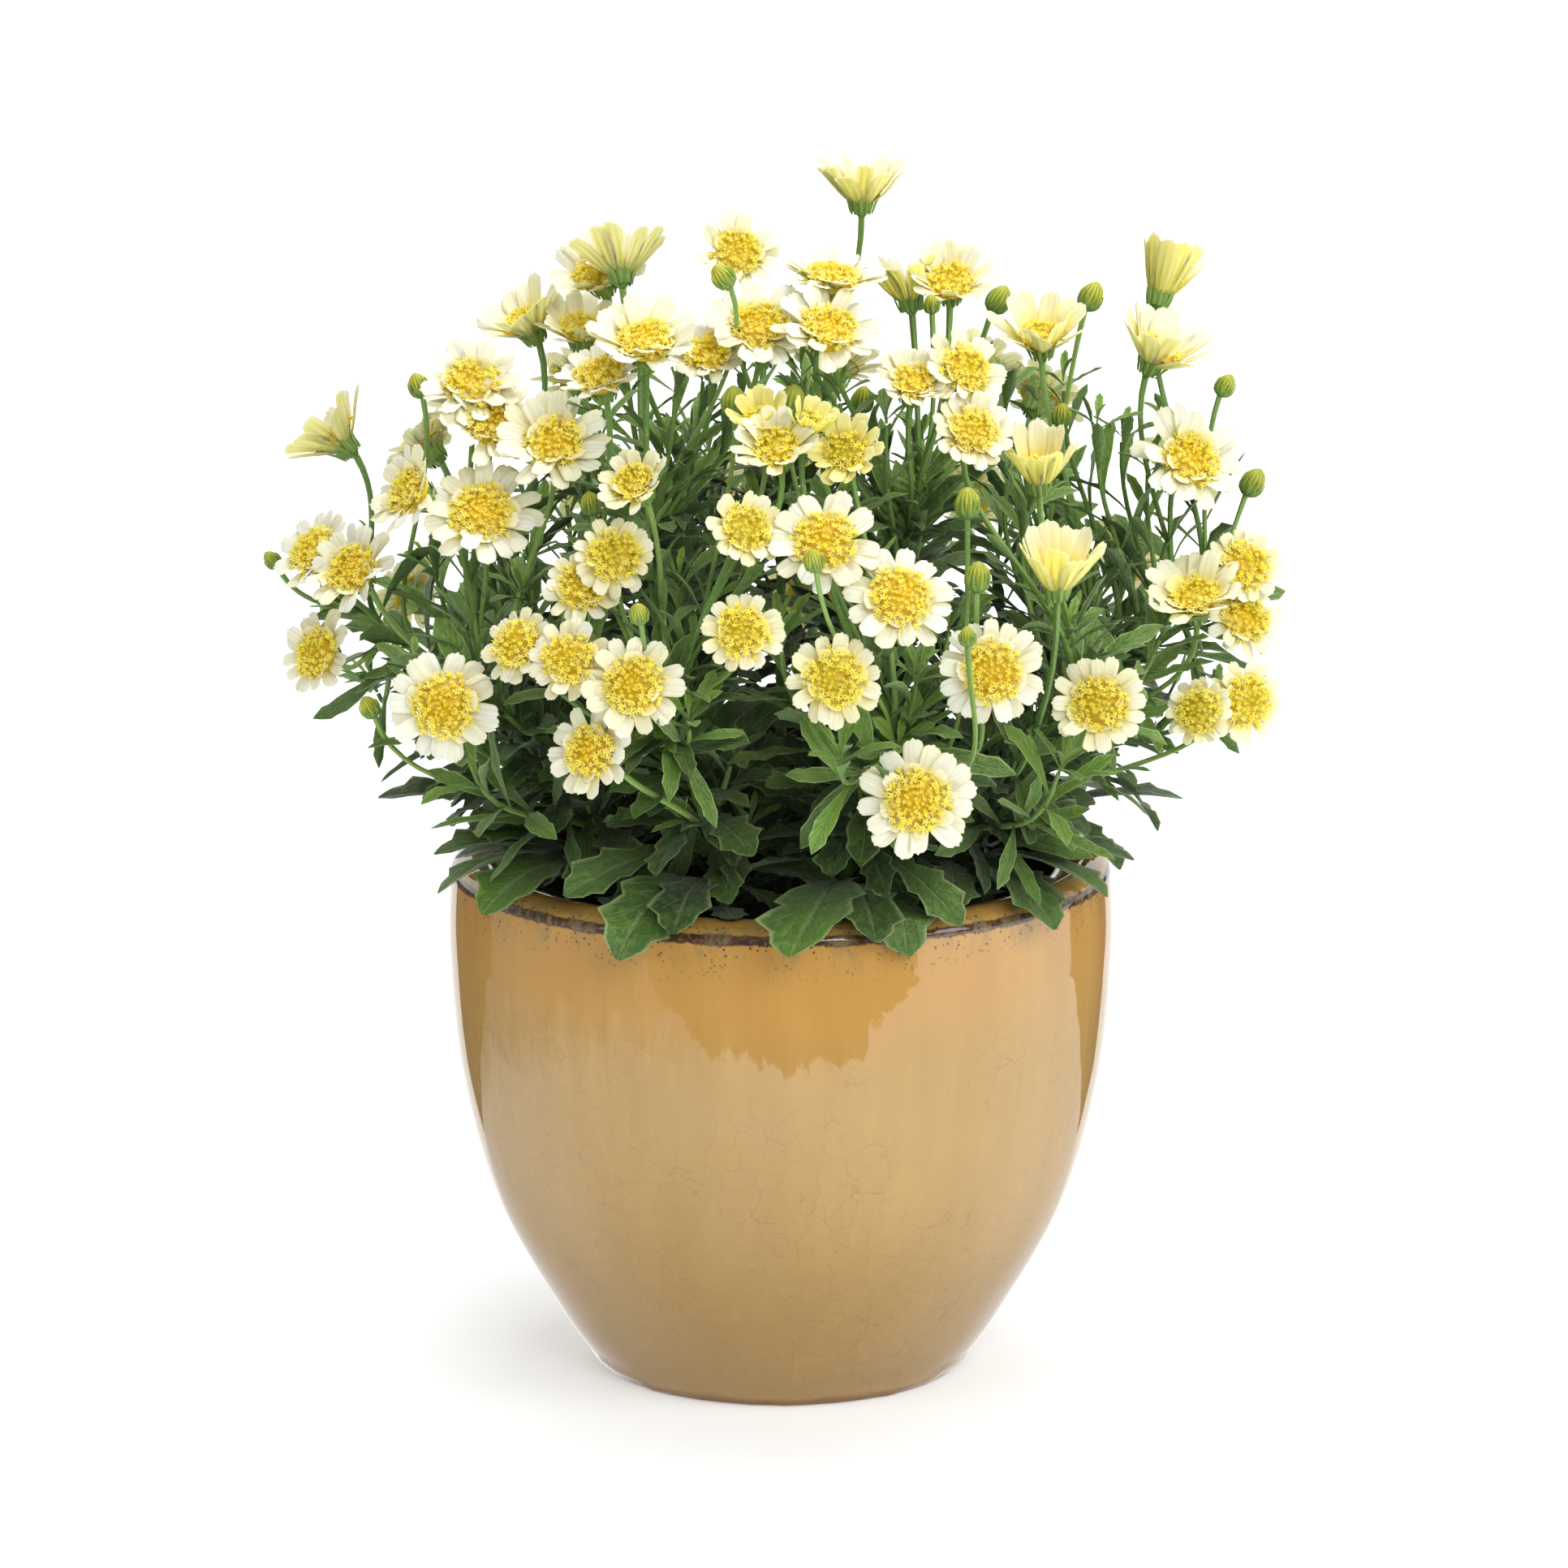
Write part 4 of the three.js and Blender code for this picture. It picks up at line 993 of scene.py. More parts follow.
def add_stalk(shoot, line, radius):
    tone, share = chance.uniform(0.2, 1), np.linspace(0, 1, STALK_ROWS)
    path = bezier(line, share)
    sway = unit(np.cross(path[-1] - path[0], (0.3, 0.5, 0.8)))
    bend, swing = (np.linspace(0, end, STALK_ROWS) for end in (math.pi, 7))
    bend = np.sin(bend) ** 2 * np.sin(swing + tone * 9)
    path = path + sway * bend[:, None] * 0.9
    radii = radius * (0.92 + 0.2 * smooth(0.85, 1.0, share))
    ribs = (STALK_RIBS, 0.05)
    add_tube(shoot.sheaf, path, radii, STALK_SIDES, "stalk_skin", *ribs, tone=tone, youth=1.0)
    return path


# ---------------------------------------------------------------- leaves

# Outlines from root to tip: share of the length, share of the half width. Teeth point forwards.
TOOTHED = np.array([
    (0, 0.14), (0.12, 0.13), (0.26, 0.2), (0.37, 0.42), (0.44, 0.64), (0.48, 0.47), (0.57, 0.76),
    (0.645, 1.04), (0.69, 0.78), (0.77, 0.92), (0.84, 1.1), (0.88, 0.7), (0.935, 0.6),
    (0.965, 0.38), (1, 0.1),
])
NARROW = np.array([
    (0, 0.22), (0.18, 0.28), (0.36, 0.58), (0.52, 0.9), (0.66, 1.0), (0.76, 0.82), (0.84, 0.9),
    (0.93, 0.46), (1, 0.05),
])
STRAP = np.array([(0, 0.3), (0.2, 0.45), (0.45, 0.85), (0.68, 1.0), (0.86, 0.7), (1, 0.06)])
BROAD, BROAD_COLUMNS = 15, np.array((-1, -0.62, -0.26, 0, 0.26, 0.62, 1))
SLIM_COLUMNS = np.array((-1, -0.5, 0, 0.5, 1))
SPINE = np.array((0.5, 0.75, 0.95))
# the frame's box in millimetres, and how far a leaf may reach past it
LOWEST, HIGHEST = np.array(cad_box) / MM
SPARE, SHORTER, TRIES = 2.0, 0.86, 5
FRONT_LEAF, FRONT_SWEEP = 270, -0.2
SHORTENED = {281: 0.9, 293: 0.76, 307: 0.88}
FRAMED_WIDER, COLLAR_WIDER = 1.1, 1.12
FILL_OUTER, FILL_INNER, FILL_LOWEST = 20, 12, 0.08
THIN = 0.6


def over_lip(points):
    """Keeps a leaf just above the lip where it crosses the rim, and off the wall beyond it."""
    radius = np.hypot(points[..., 0], points[..., 1])
    beyond, before = (np.clip(past, 0, None) for past in (radius - RIM_RADIUS - 2.5, 122 - radius))
    floor = RIM_HEIGHT + LIP_RISE + 2.0 - beyond * 5 - before * 3
    points[..., 2] = np.maximum(points[..., 2], np.where(radius > 116, floor, -1.0))
    return points


class Leaf:
    """A leaf: its root, directions and sizes, and the wave, twist and sweep of its own."""

    waves, wave, phase, twist, sweep, tone = 19, 0, 0, 0, 0, 0.5

    def __init__(self, root, out, up, length, width, arch, fold, share=0.0, thickness=0.7):
        self.root, self.out, self.up, self.share = root, out, up, share
        self.length, self.width, self.arch, self.fold = length, width, arch, fold
        self.thickness = thickness

    def livelier(self, amount=1.0):
        """Gives the leaf its own wave, twist, sweep and tone."""
        self.wave = chance.uniform(0.1, 0.32) * amount
        self.waves, self.phase = chance.uniform(12, 22), chance.uniform(0, 6)
        self.twist = chance.normal(0, 0.35) * amount
        self.sweep = chance.normal(0, 0.05) * amount
        self.tone = chance.uniform(0, 1)
        return self

    def points(self, along, across):
        """Points of its middle surface at shares of its length and half width."""
        arch = max(math.radians(self.arch), 1e-3)
        x = unit(self.out)
        z = unit(self.up - x * (self.up @ x))
        bend, half = arch * along, self.width / 2
        up = np.abs(across) * half * self.fold
        up = up + self.wave * half * np.sin(along * self.waves + self.phase) * across**2
        turn, side = self.twist * along, across * half
        lift = up * np.cos(turn) + side * np.sin(turn)
        slide = side * np.cos(turn) - up * np.sin(turn)
        slide = slide + self.sweep * self.length * along**2
        forward = self.length * np.sin(bend) / arch + lift * np.sin(bend)
        height = -self.length * (1 - np.cos(bend)) / arch + lift * np.cos(bend)
        middle = self.root + forward[..., None] * x + slide[..., None] * np.cross(z, x)
        return over_lip(middle + height[..., None] * z)


def add_leaf(sheaf, leaf, outline, youth=0.0):
    """A leaf of an outline, which is made shorter while it reaches past the frame's box."""
    along, width = outline.T
    columns = BROAD_COLUMNS if leaf.width > BROAD else SLIM_COLUMNS
    across, down = np.outer(width, columns), np.repeat(along[:, None], len(columns), 1)
    for _ in range(TRIES):
        points = leaf.points(down, across)
        if (points > LOWEST - SPARE).all() and (points < HIGHEST + SPARE).all():
            break
        leaf.length *= SHORTER
    marks = {"along": along[None, :, None], "across": columns, "tone": leaf.tone, "youth": youth}
    add_blades(sheaf, points[None], leaf.thickness, ("leaf_upper", "leaf_under"), **marks)


def shoot_leaf(shoot, k, turn, count=None, lowest=None):
    """Leaf k of a shoot as the frame has it: big and spreading below, small and steep above."""
    start, count = lowest or shoot.lowest_leaf, count or shoot.leaves
    share = spread_between(start, 1, (k + 0.6) / count)
    way = shoot.way(share)
    spoke = aside(way, UP, GOLDEN * k + 360 * draw(shoot.index, 7) + turn)
    pitch = spread_between(*LEAF_PITCH, share) + 14 * (draw(shoot.index, 20 + k) - 0.5)
    length = spread_between(*LEAF_LENGTH, share) * (0.88 + 0.24 * draw(shoot.index, 60 + k))
    width = length * spread_between(*LEAF_SLIMNESS, share)
    arch = spread_between(*LEAF_ARCH, share) + 20 * draw(shoot.index, 100 + k)
    out, up = leaning(way, spoke, pitch), way * 0.9 + UP * 0.3
    return Leaf(shoot.at(share), out, up, length, width, arch, LEAF_FOLD, share)


def collar_leaf(shoot, bearing, length, width, arch, turn):
    rise = math.radians(COLLAR_RISE)
    out = polar(math.cos(rise), bearing + turn * COLLAR_SHUFFLE, math.sin(rise))
    return Leaf(shoot.at(COLLAR_START), out, UP, length, width, arch, COLLAR_FOLD)


def as_framed(shoot, make):
    """How far off the frame holds this leaf, and the way round the stem in which it does."""
    return min((shoot.off(make(turn).points(SPINE, np.zeros(3))), turn) for turn in TURNS)


def add_framed_leaves():
    outer = [shoot for shoot in shoots if shoot.outer]
    far, high = SHOOT_RINGS[2][3:5]
    for bearing, *sizes in COLLAR_LEAVES:
        target = polar(far, bearing, high)
        shoot = min(outer, key=lambda s: np.linalg.norm(s.controls[2] - target))
        _, turn = as_framed(shoot, lambda t: collar_leaf(shoot, bearing, *sizes, t))
        leaf = collar_leaf(shoot, bearing, *sizes, turn).livelier(0.5)
        leaf.width *= COLLAR_WIDER
        leaf.length *= SHORTENED.get(bearing, 1.0)
        if bearing == FRONT_LEAF:
            leaf.sweep = FRONT_SWEEP
        add_leaf(shoot.sheaf, leaf, TOOTHED)
    for shoot in shoots:
        for k in range(shoot.leaves):
            off, turn = as_framed(shoot, lambda t: shoot_leaf(shoot, k, t))
            leaf = shoot_leaf(shoot, k, turn).livelier(0.6)
            if off > 3:
                leaf.length *= 0.75
            leaf.width *= FRAMED_WIDER
            young = float(smooth(0.75, 1.0, leaf.share)) * 0.5 * chance.uniform(0.2, 1)
            add_leaf(shoot.sheaf, leaf, TOOTHED if leaf.share < 0.62 else NARROW, young)


def add_filling_leaves():
    """The smaller leaves between the framed ones."""
    for shoot in shoots:
        count = FILL_OUTER if shoot.outer else FILL_INNER
        for k in range(count):
            turn = 61 + 40 * draw(shoot.index, 300 + k)
            leaf = shoot_leaf(shoot, k, turn, count, FILL_LOWEST).livelier()
            leaf.length *= chance.uniform(0.5, 0.85)
            leaf.width = leaf.length * chance.uniform(0.22, 0.34)
            young = float(smooth(0.7, 1.0, leaf.share)) * chance.uniform(0.2, 0.9)
            add_leaf(shoot.sheaf, leaf, TOOTHED if leaf.share < 0.6 else NARROW, young)


def add_tuft(sheaf, spot, way, reach, count):
    """Young leaves that stand close together round a growing tip."""
    for k in range(count):
        share = (k + 0.5) / count
        spoke = aside(way, (0.2, 0.1, 1), GOLDEN * k + spot[0])
        out = leaning(way, spoke, spread_between(58, 14, share))
        length = reach * spread_between(1.0, 0.45, share) * chance.uniform(0.85, 1.1)
        width, arch = length * chance.uniform(0.2, 0.28), chance.uniform(10, 40)
        root = spot + way * share * 7
        leaf = Leaf(root, out, way, length, width, arch, 0.35, thickness=THIN).livelier(0.7)
        add_leaf(sheaf, leaf, NARROW, 0.25 + 0.6 * share)


def add_leaves_along(sheaf, path, ends, gap, lengths, slimness, pitches, outline, youth):
    """Leaves in a spiral along a line of points, between two distances from its start."""
    steps = np.concatenate([[0], np.cumsum(np.linalg.norm(np.diff(path, axis=0), axis=1))])
    places = np.arange(ends[0], min(ends[1], steps[-1]), gap)
    spin = chance.uniform(0, 360)

    def at(place):
        return np.array([np.interp(place, steps, path[:, axis]) for axis in range(3)])

    for k, place in enumerate(places):
        way = unit(at(place + 2) - at(place - 2))
        spoke = aside(way, (0.31, 0.12, 0.94), GOLDEN * k + spin)
        share = k / max(len(places) - 1, 1)
        out = leaning(way, spoke, spread_between(*pitches, share) + chance.normal(0, 7))
        length = spread_between(*lengths, share) * chance.uniform(0.8, 1.18)
        width, arch = length * chance.uniform(*slimness), chance.uniform(5, 55)
        leaf = Leaf(at(place), out, way * 0.9 + UP * 0.3, length, width, arch, LEAF_FOLD)
        leaf.livelier()
        young = spread_between(*youth, share) + chance.normal(0, 0.08)
        add_leaf(sheaf, leaf, outline, float(np.clip(young, 0, 1)))


def add_stalk_leaf(sheaf, path, share, size):
    """A small narrow leaf that sits on a flower stalk."""
    k = int(share * (len(path) - 2))
    way = unit(path[k + 1] - path[k])
    side = unit(np.cross(way, chance.normal(size=3)))
    out, up, arch = way * 0.75 + side * 0.65, way - side * 0.3, chance.uniform(-10, 45)
    leaf = Leaf(path[k], out, up, size, size * 0.17, arch, 0.4, thickness=THIN).livelier(0.6)
    add_leaf(sheaf, leaf, STRAP, 0.35)


# ---------------------------------------------------------------- twigs

TWIG_SIDES, SIDE_TWIGS, TWIGS = 7, 3, 50
TWIG_REACH, TWIG_TOP, TWIG_FALL, TWIG_DROP = 198, 448, 126, 34
# The leaves of a twig: gap, lengths, slimness, pitches, outline, youth at its foot and tip.
SIDE_LEAVES = (6.5, (58, 36), (0.26, 0.36), (70, 38), TOOTHED, (0.0, 0.15))
RISING_LEAVES = (6.2, (52, 34), (0.15, 0.22), (52, 30), NARROW, (0.05, 0.4))
FREE_LEAVES = (13, (46, 28), (0.17, 0.24), (34, 20), NARROW, (0.1, 0.4))
STALK_LEAVES = (7, (46, 26), (0.14, 0.2), (48, 26), NARROW, (0.1, 0.45))
# Tips of thin twigs that stand free at the right and under the crown: across, height, in front.
FREE_TIPS = [
    (127, 446, -14), (141, 432, 16), (153, 424, -6), (164, 412, 8), (103, 436, -58),
    (117, 430, -66), (-79, 450, 84), (-46, 461, 86), (-34, 464, 70), (-16, 466, 76),
    (9, 466, 84), (26, 458, 92), (46, 449, 96),
]


def add_twig(shoot, path, radii, ends, leaves, tuft, **marks):
    """A leafy twig along a line, with a tuft of young leaves at its tip."""
    radii = np.linspace(*radii, len(path))
    add_tube(shoot.sheaf, path, radii, TWIG_SIDES, "stalk_skin", **marks)
    add_leaves_along(shoot.sheaf, path, ends, *leaves)
    add_tuft(shoot.sheaf, path[-1], unit(path[-1] - path[-2]), *tuft)


def add_side_twigs():
    """Short side shoots that fill the dense belt between the rim and the lowest heads."""
    for shoot in shoots:
        for k in range(SIDE_TWIGS if shoot.outer else 1):
            start = spread_between(0.1, 0.55, (k + 0.5) / SIDE_TWIGS)
            here, way = shoot.at(start), shoot.way(start)
            side = -1 if (k + shoot.index) % 2 else 1
            bearing = shoot.bearing + side * chance.uniform(20, 66)
            out = unit(polar(1, bearing, chance.uniform(0.25, 0.9)) + way * 0.5)
            length = chance.uniform(34, 60) * (1.0 if shoot.outer else 0.8)
            end = here + out * length * 0.8 + UP * (length * 0.35)
            path = bezier((here, here + out * length * 0.5, end), np.linspace(0, 1, 8))
            marks = {"tone": 0.4, "youth": 0.8}
            add_twig(shoot, path, (1.8, 1.1), (4, 200), SIDE_LEAVES, (28, 7), **marks)


def add_risen_twig(end, face, radii, start, leaves, tuft):
    shoot, line = route_of(end, face)
    path = bezier(line, np.linspace(0, 1, 14))
    span = apart(path[0], path[-1])
    add_twig(shoot, path, radii, (span * start, span), leaves, tuft, tone=0.5, youth=0.9)


def add_rising_twigs():
    """Leafy twigs that rise among the flower stalks and end just under the heads."""
    for k in range(TWIGS):
        share, bearing = (k + 0.5) / TWIGS, GOLDEN * k + 20
        top = TWIG_TOP - TWIG_FALL * share - chance.uniform(0, TWIG_DROP)
        end = polar(TWIG_REACH * math.sqrt(share), bearing, top)
        face = unit(polar(0.2 + 0.5 * share, bearing, 1.0))
        add_risen_twig(end, face, (1.8, 1.0), 0.12, RISING_LEAVES, (30, 7))


def add_free_twigs():
    for tip in FREE_TIPS:
        add_risen_twig(spot_of(*tip), facing(20, 80), (1.6, 0.9), 0.3, FREE_LEAVES, (24, 4))


# ---------------------------------------------------------------- flower heads

PETAL_ROWS = (0, 0.2, 0.4, 0.58, 0.74, 0.86, 0.94, 1.0)
PETALOID_ROWS = (0, 0.3, 0.6, 0.82, 0.94, 1.0)
PETAL_COLUMNS = (-1, -0.67, -0.33, 0, 0.33, 0.67, 1)
PATH_STEPS, LONGEST_PETAL = 28, 29.5
PETAL_COUNTS, FEW_PETALS, PETALOIDS, SMALL_HEAD = (15, 18), (12, 14), (5, 9), 30
PETAL_LENGTHS, PETALOID_LENGTHS, PETAL_WIDTHS = (0.9, 1.02), (0.5, 0.66), (0.142, 0.17)
STAR_SIDES, LOBE_REACH, THROAT_REACH, THROAT_RISE, THROAT_DEPTH = 5, 1.16, 0.4, 0.78, 0.74
FLORET_LENGTHS, FLORET_WIDTHS, FLORET_PITCH, DISC_SHARE = (1.7, 3.8), (0.8, 1.45), 1.98, 0.34
BRACTS, BRACT_LENGTHS, BRACT_HALF = 13, (7.6, 10.2), 1.05
UPRIGHT_CUP, BLOOM_GROWTH = 0.14, 1.08
# How far some cups nod to the front, or lean back below zero: across and height of the head.
NODS = {(116, 472): 0.1, (167, 463): -0.1, (119, 389): -0.14, (112, 428): -0.08, (75, 499): 0.08}
# Heads that are younger than they are open: ivory petals round an olive middle.
YOUNG_HEADS = {
    (-8, 458): 1.0, (13, 459): 1.0, (28, 446): 0.9, (-16, 417): 0.7, (185, 318): 0.7,
    (-1, 446): 0.45, (-16, 377): 0.6, (23, 358): 0.6, (-71, 402): 0.6, (-85, 388): 0.35,
    (-111, 364): 0.4, (-89, 361): 0.3, (-61, 432): 0.4, (137, 337): 0.4, (205, 375): 0.4,
    (204, 320): 0.6, (184, 360): 0.35, (82, 448): 0.3, (78, 472): 0.3, (-20, 512): 0.35,
    (-62, 352): 0.2, (-203, 338): 0.25, (75, 499): 0.3,
}


def bent_path(lean, length, start):
    """Radius and height along lines that set out at `start`, from their lean at every step."""
    step = length[:, None] / (lean.shape[1] - 1)
    middle = (lean[:, 1:] + lean[:, :-1]) / 2
    zero = np.zeros((len(lean), 1))
    radius = start[0] + np.concatenate([zero, np.cumsum(step * np.cos(middle), 1)], 1)
    height = start[1] + np.concatenate([zero, np.cumsum(step * np.sin(middle), 1)], 1)
    return radius, height


def looked_up(table, share):
    """Values of each row of a table at shares of its length."""
    place = np.clip(share, 0, 1) * (table.shape[1] - 1)
    low = np.minimum(place.astype(int), table.shape[1] - 2)
    row = np.arange(len(table)).reshape(-1, *([1] * (share.ndim - 1)))
    return table[row, low] * (1 - (place - low)) + table[row, low + 1] * (place - low)


def turned_out(bearing, radius, side, height):
    """Points of blades that stand round an axis, each at its own bearing."""
    cos, sin = np.cos(bearing)[:, None, None], np.sin(bearing)[:, None, None]
    return np.stack([radius * cos - side * sin, radius * sin + side * cos, height], -1)


class Bloom:
    """A flower head: where it stands, its width, and how far open and how young it is."""

    def __init__(self, sheaf, place, spread, opened, youth):
        self.sheaf, self.place, self.spread = sheaf, place, spread
        self.opened, self.youth = opened, youth
        self.tilt, self.flare = math.radians(12 + 86 * (1 - opened)), math.radians(FLARE)
        mean = (math.cos(self.tilt + self.flare) + math.cos(self.tilt - self.flare)) / 2
        self.length = min((spread / 2 - RECEPTACLE) / mean, LONGEST_PETAL)
        self.bowl = 1.0 - float(smooth(0.5, 0.72, opened))

    def add_petals(self, count, inner=False):
        """A whorl of blunt ray petals. The inner whorl is short and lies on the florets."""
        length, reach, bowl = self.length, self.spread / 2, self.bowl
        bearing = round_angles(count, chance.uniform(-0.22, 0.22, count))
        if inner:
            bearing = bearing + chance.uniform(0, 6)
        layer = np.where(np.arange(count) % 2, 1.0, -1.0)
        own_length = length * chance.uniform(*PETAL_LENGTHS, count) * 0.99
        lean_off = chance.normal(0, math.radians(4.5), count) + layer * math.radians(2.5)
        curl = chance.normal(-0.1, 0.16, count)
        width = reach * chance.uniform(*PETAL_WIDTHS, count) * (16 / count) ** 0.5
        width = width * (1 + 1.1 * max(0.0, 0.82 - self.opened))
        rows, start = PETAL_ROWS, (RECEPTACLE * 0.8, -1.5 - 2.4 * bowl)
        if inner:
            own_length = length * chance.uniform(*PETALOID_LENGTHS, count)
            lean_off, width = lean_off + math.radians(16), width * 0.62
            rows, start = PETALOID_ROWS, (RECEPTACLE * 0.9, -0.4)

        share = np.linspace(0, 1, PATH_STEPS)[None, :]
        lean = self.tilt + self.flare * (1 - 2 * bowl) * (1 - 2 * share) - 0.3 * bowl * share**5
        lean = lean + lean_off[:, None] + curl[:, None] * share**2
        path_radius, path_height = bent_path(lean, own_length, start)

        each = (count, 1, 1)
        u, v = blade_shares(rows, PETAL_COLUMNS, count)
        notch = 0.022 + 0.02 * chance.uniform(0, 1, each)
        s = u * (1 - 0.1 * np.abs(v) ** 2 - notch * np.exp(-(((np.abs(v) - 0.33) / 0.12) ** 2)))
        profile = 0.44 + 0.56 * smooth(0, 0.62, s) - 0.2 * smooth(0.8, 1.0, s)
        half = width[:, None, None] * profile
        radius, height = looked_up(path_radius, s), looked_up(path_height, s)
        leaned = looked_up(np.broadcast_to(lean, (count, PATH_STEPS)), s)
        cup = chance.uniform(0.15, 0.5, each) * (1 - 1.1 * s) * half * v**2
        wrap = (half * v) ** 2 / (2 * np.maximum(radius, 6)) * np.sin(np.clip(leaned, 0, None))
        ridge = 0.06 * half * np.cos(3 * math.pi * v) * smooth(0, 0.3, s)
        off = cup + wrap + ridge + layer[:, None, None] * 0.3 * smooth(0.05, 0.4, s)
        twist = chance.normal(0, 0.28, each) * s
        sweep = chance.normal(0, 0.06, each) * reach * s**2
        side = half * v * np.cos(twist) - off * np.sin(twist) + sweep
        rise = half * v * np.sin(twist) + off * np.cos(twist)
        radius, height = radius - np.sin(leaned) * rise, height + np.cos(leaned) * rise

        marks = {"along": s * 0.62 if inner else s, "across": v}
        marks["tone"] = np.broadcast_to(chance.uniform(0, 1, each), s.shape)
        marks["youth"] = min(1.0, self.youth + 0.25) if inner else self.youth
        points = self.place(turned_out(bearing, radius, side, height))
        add_blades(self.sheaf, points, 0.45, ("petal_upper", "petal_under"), **marks)

    def add_florets(self, base, way, length, width, out):
        """Tubular florets: a thin foot, and a mouth of pointed lobes round a hollow throat."""
        count, corners = len(base), 2 * STAR_SIDES
        tone = chance.uniform(0, 1, count)
        across = unit(np.cross(way, (0.13, 0.27, 0.95)))
        other = np.cross(way, across)
        angle = np.arange(corners) * math.pi / STAR_SIDES + chance.uniform(0, 6.28, (count, 1))
        tip = (np.arange(corners) % 2 == 0)[None, :]
        reach = width[:, None] * np.where(tip, LOBE_REACH, THROAT_REACH)
        uneven = 1 + 0.1 * chance.uniform(-1, 1, (count, corners))
        rise = np.where(tip, 1.0, THROAT_RISE) * length[:, None] * uneven
        cos, sin = np.cos(angle)[..., None], np.sin(angle)[..., None]
        spokes = cos * across[:, None] + sin * other[:, None]
        ring = base[:, None] + way[:, None] * rise[..., None] + spokes * reach[..., None]
        throat = base + way * (length * THROAT_DEPTH)[:, None]
        points = np.concatenate([base[:, None], ring, throat[:, None]], axis=1)
        mouth = np.where(tip, 1.0, 0.7) * np.ones((count, 1))
        along = np.concatenate([np.zeros((count, 1)), mouth, np.full((count, 1), 0.3)], 1)
        each = points.shape[1]
        faces = (STAR_FACES[None] + (np.arange(count) * each)[:, None, None]).reshape(-1, 3)
        marks = {"across": np.repeat(out, each), "tone": np.repeat(tone, each)}
        points = self.place(points)
        self.sheaf.add(points, faces, "floret", along=along, youth=self.youth, **marks)

    def add_disc(self):
        """The domed cushion of florets in the middle of a head."""
        opened, bowl, at = self.opened, self.bowl, np.array([[DISC_SHARE]])
        share = np.linspace(0, 1, PATH_STEPS)[None, :]
        lean = self.tilt + self.flare - 2 * self.flare * share
        path = bent_path(lean, np.array([self.length]), (RECEPTACLE, -1.5))
        disc, edge = (float(looked_up(line, at)[0, 0]) for line in path)
        disc, edge = disc * (1 - 0.12 * bowl), edge + 0.3 - 4.2 * bowl
        crown = (2.2 + 0.2 * disc * opened + 1.2 * opened) * (1 - 0.3 * bowl)
        levels = edge - 1.5 + crown * np.array((0, 0.32, 0.6, 0.82, 0.95, 1.0))
        radii = disc * np.array((0.98, 0.9, 0.72, 0.48, 0.26, 0.06))
        marks = {"along": 0.1, "across": 0.3, "tone": 0.6, "youth": self.youth}
        add_tube(self.sheaf, self.place(np.outer(levels, UP)), radii, 18, "floret", **marks)
        count = max(24, int((disc * 1.05 / FLORET_PITCH) ** 2 * 3.3))
        k = np.arange(count) + 0.5
        out, angle = np.sqrt(k / count), np.radians(GOLDEN) * k
        rho = disc * 1.02 * out
        level = edge - 0.8 + crown * np.sqrt(np.clip(1 - (0.96 * out) ** 2, 0, 1))
        base = np.stack([rho * np.cos(angle), rho * np.sin(angle), level], -1)
        slope = 0.95 * out**1.8 * (0.45 + 0.55 * opened) * (1 if opened > 0.5 else 0.3)
        flat = np.sin(slope)
        way = np.stack([np.cos(angle) * flat, np.sin(angle) * flat, np.cos(slope)], -1)
        way = unit(way + chance.normal(0, 0.3, way.shape))
        grown = smooth(0.15, 0.75, out)
        length = chance.uniform(*FLORET_LENGTHS, count)
        length = length * (0.84 + 0.48 * grown * (0.5 + 0.5 * opened))
        width = chance.uniform(*FLORET_WIDTHS, count) * (0.76 + 0.54 * grown)
        self.add_florets(base, way, length, width, out)

    def add_calyx(self):
        """The green cup under the petals, with its narrow pointed bracts."""
        levels = np.array((-CALYX - 0.5, -8.4, -7.2, -5.4, -3.4, -1.7, -0.9))
        radii = (1.5, 2.2, 3.5, 4.7, 5.3, 5.5, 4.6)
        path = self.place(np.outer(levels, UP))
        add_tube(self.sheaf, path, radii, 20, "calyx", tone=0.3)
        share = np.linspace(0, 1, PATH_STEPS)[None, :] * np.ones((BRACTS, 1))
        toward = self.tilt + math.radians(FLARE - 3)
        lean = spread_between(1.38, toward, smooth(0.35, 0.75, share))
        lean = lean + chance.normal(0, 0.07, (BRACTS, 1))
        path = bent_path(lean, chance.uniform(*BRACT_LENGTHS, BRACTS), (4.3, -7.6))
        s, v = blade_shares((0, 0.25, 0.5, 0.75, 1.0), (-1, 0, 1), BRACTS)
        half = BRACT_HALF * (0.8 + 0.35 * np.sin(math.pi * np.clip(s * 1.1, 0, 1)))
        half = half * (1 - smooth(0.6, 1.02, s) * 0.93)
        radius, height, leaned = (looked_up(table, s) for table in (*path, lean))
        off = 0.5 * (1 - np.abs(v)) * np.minimum(half, 1) + 0.3
        radius, height = radius + np.sin(leaned) * off, height - np.cos(leaned) * off
        points = self.place(turned_out(round_angles(BRACTS, 0.5), radius, half * v, height))
        add_blades(self.sheaf, points, 0.6, ("calyx", "calyx"), along=s, across=v, tone=0.6)


def star_faces():
    ring = np.arange(1, 2 * STAR_SIDES + 1)
    following = np.roll(ring, -1)
    foot = np.stack([np.zeros_like(ring), following, ring], -1)
    throat = np.stack([np.full_like(ring, 2 * STAR_SIDES + 1), ring, following], -1)
    return np.concatenate([foot, throat])


STAR_FACES = star_faces()


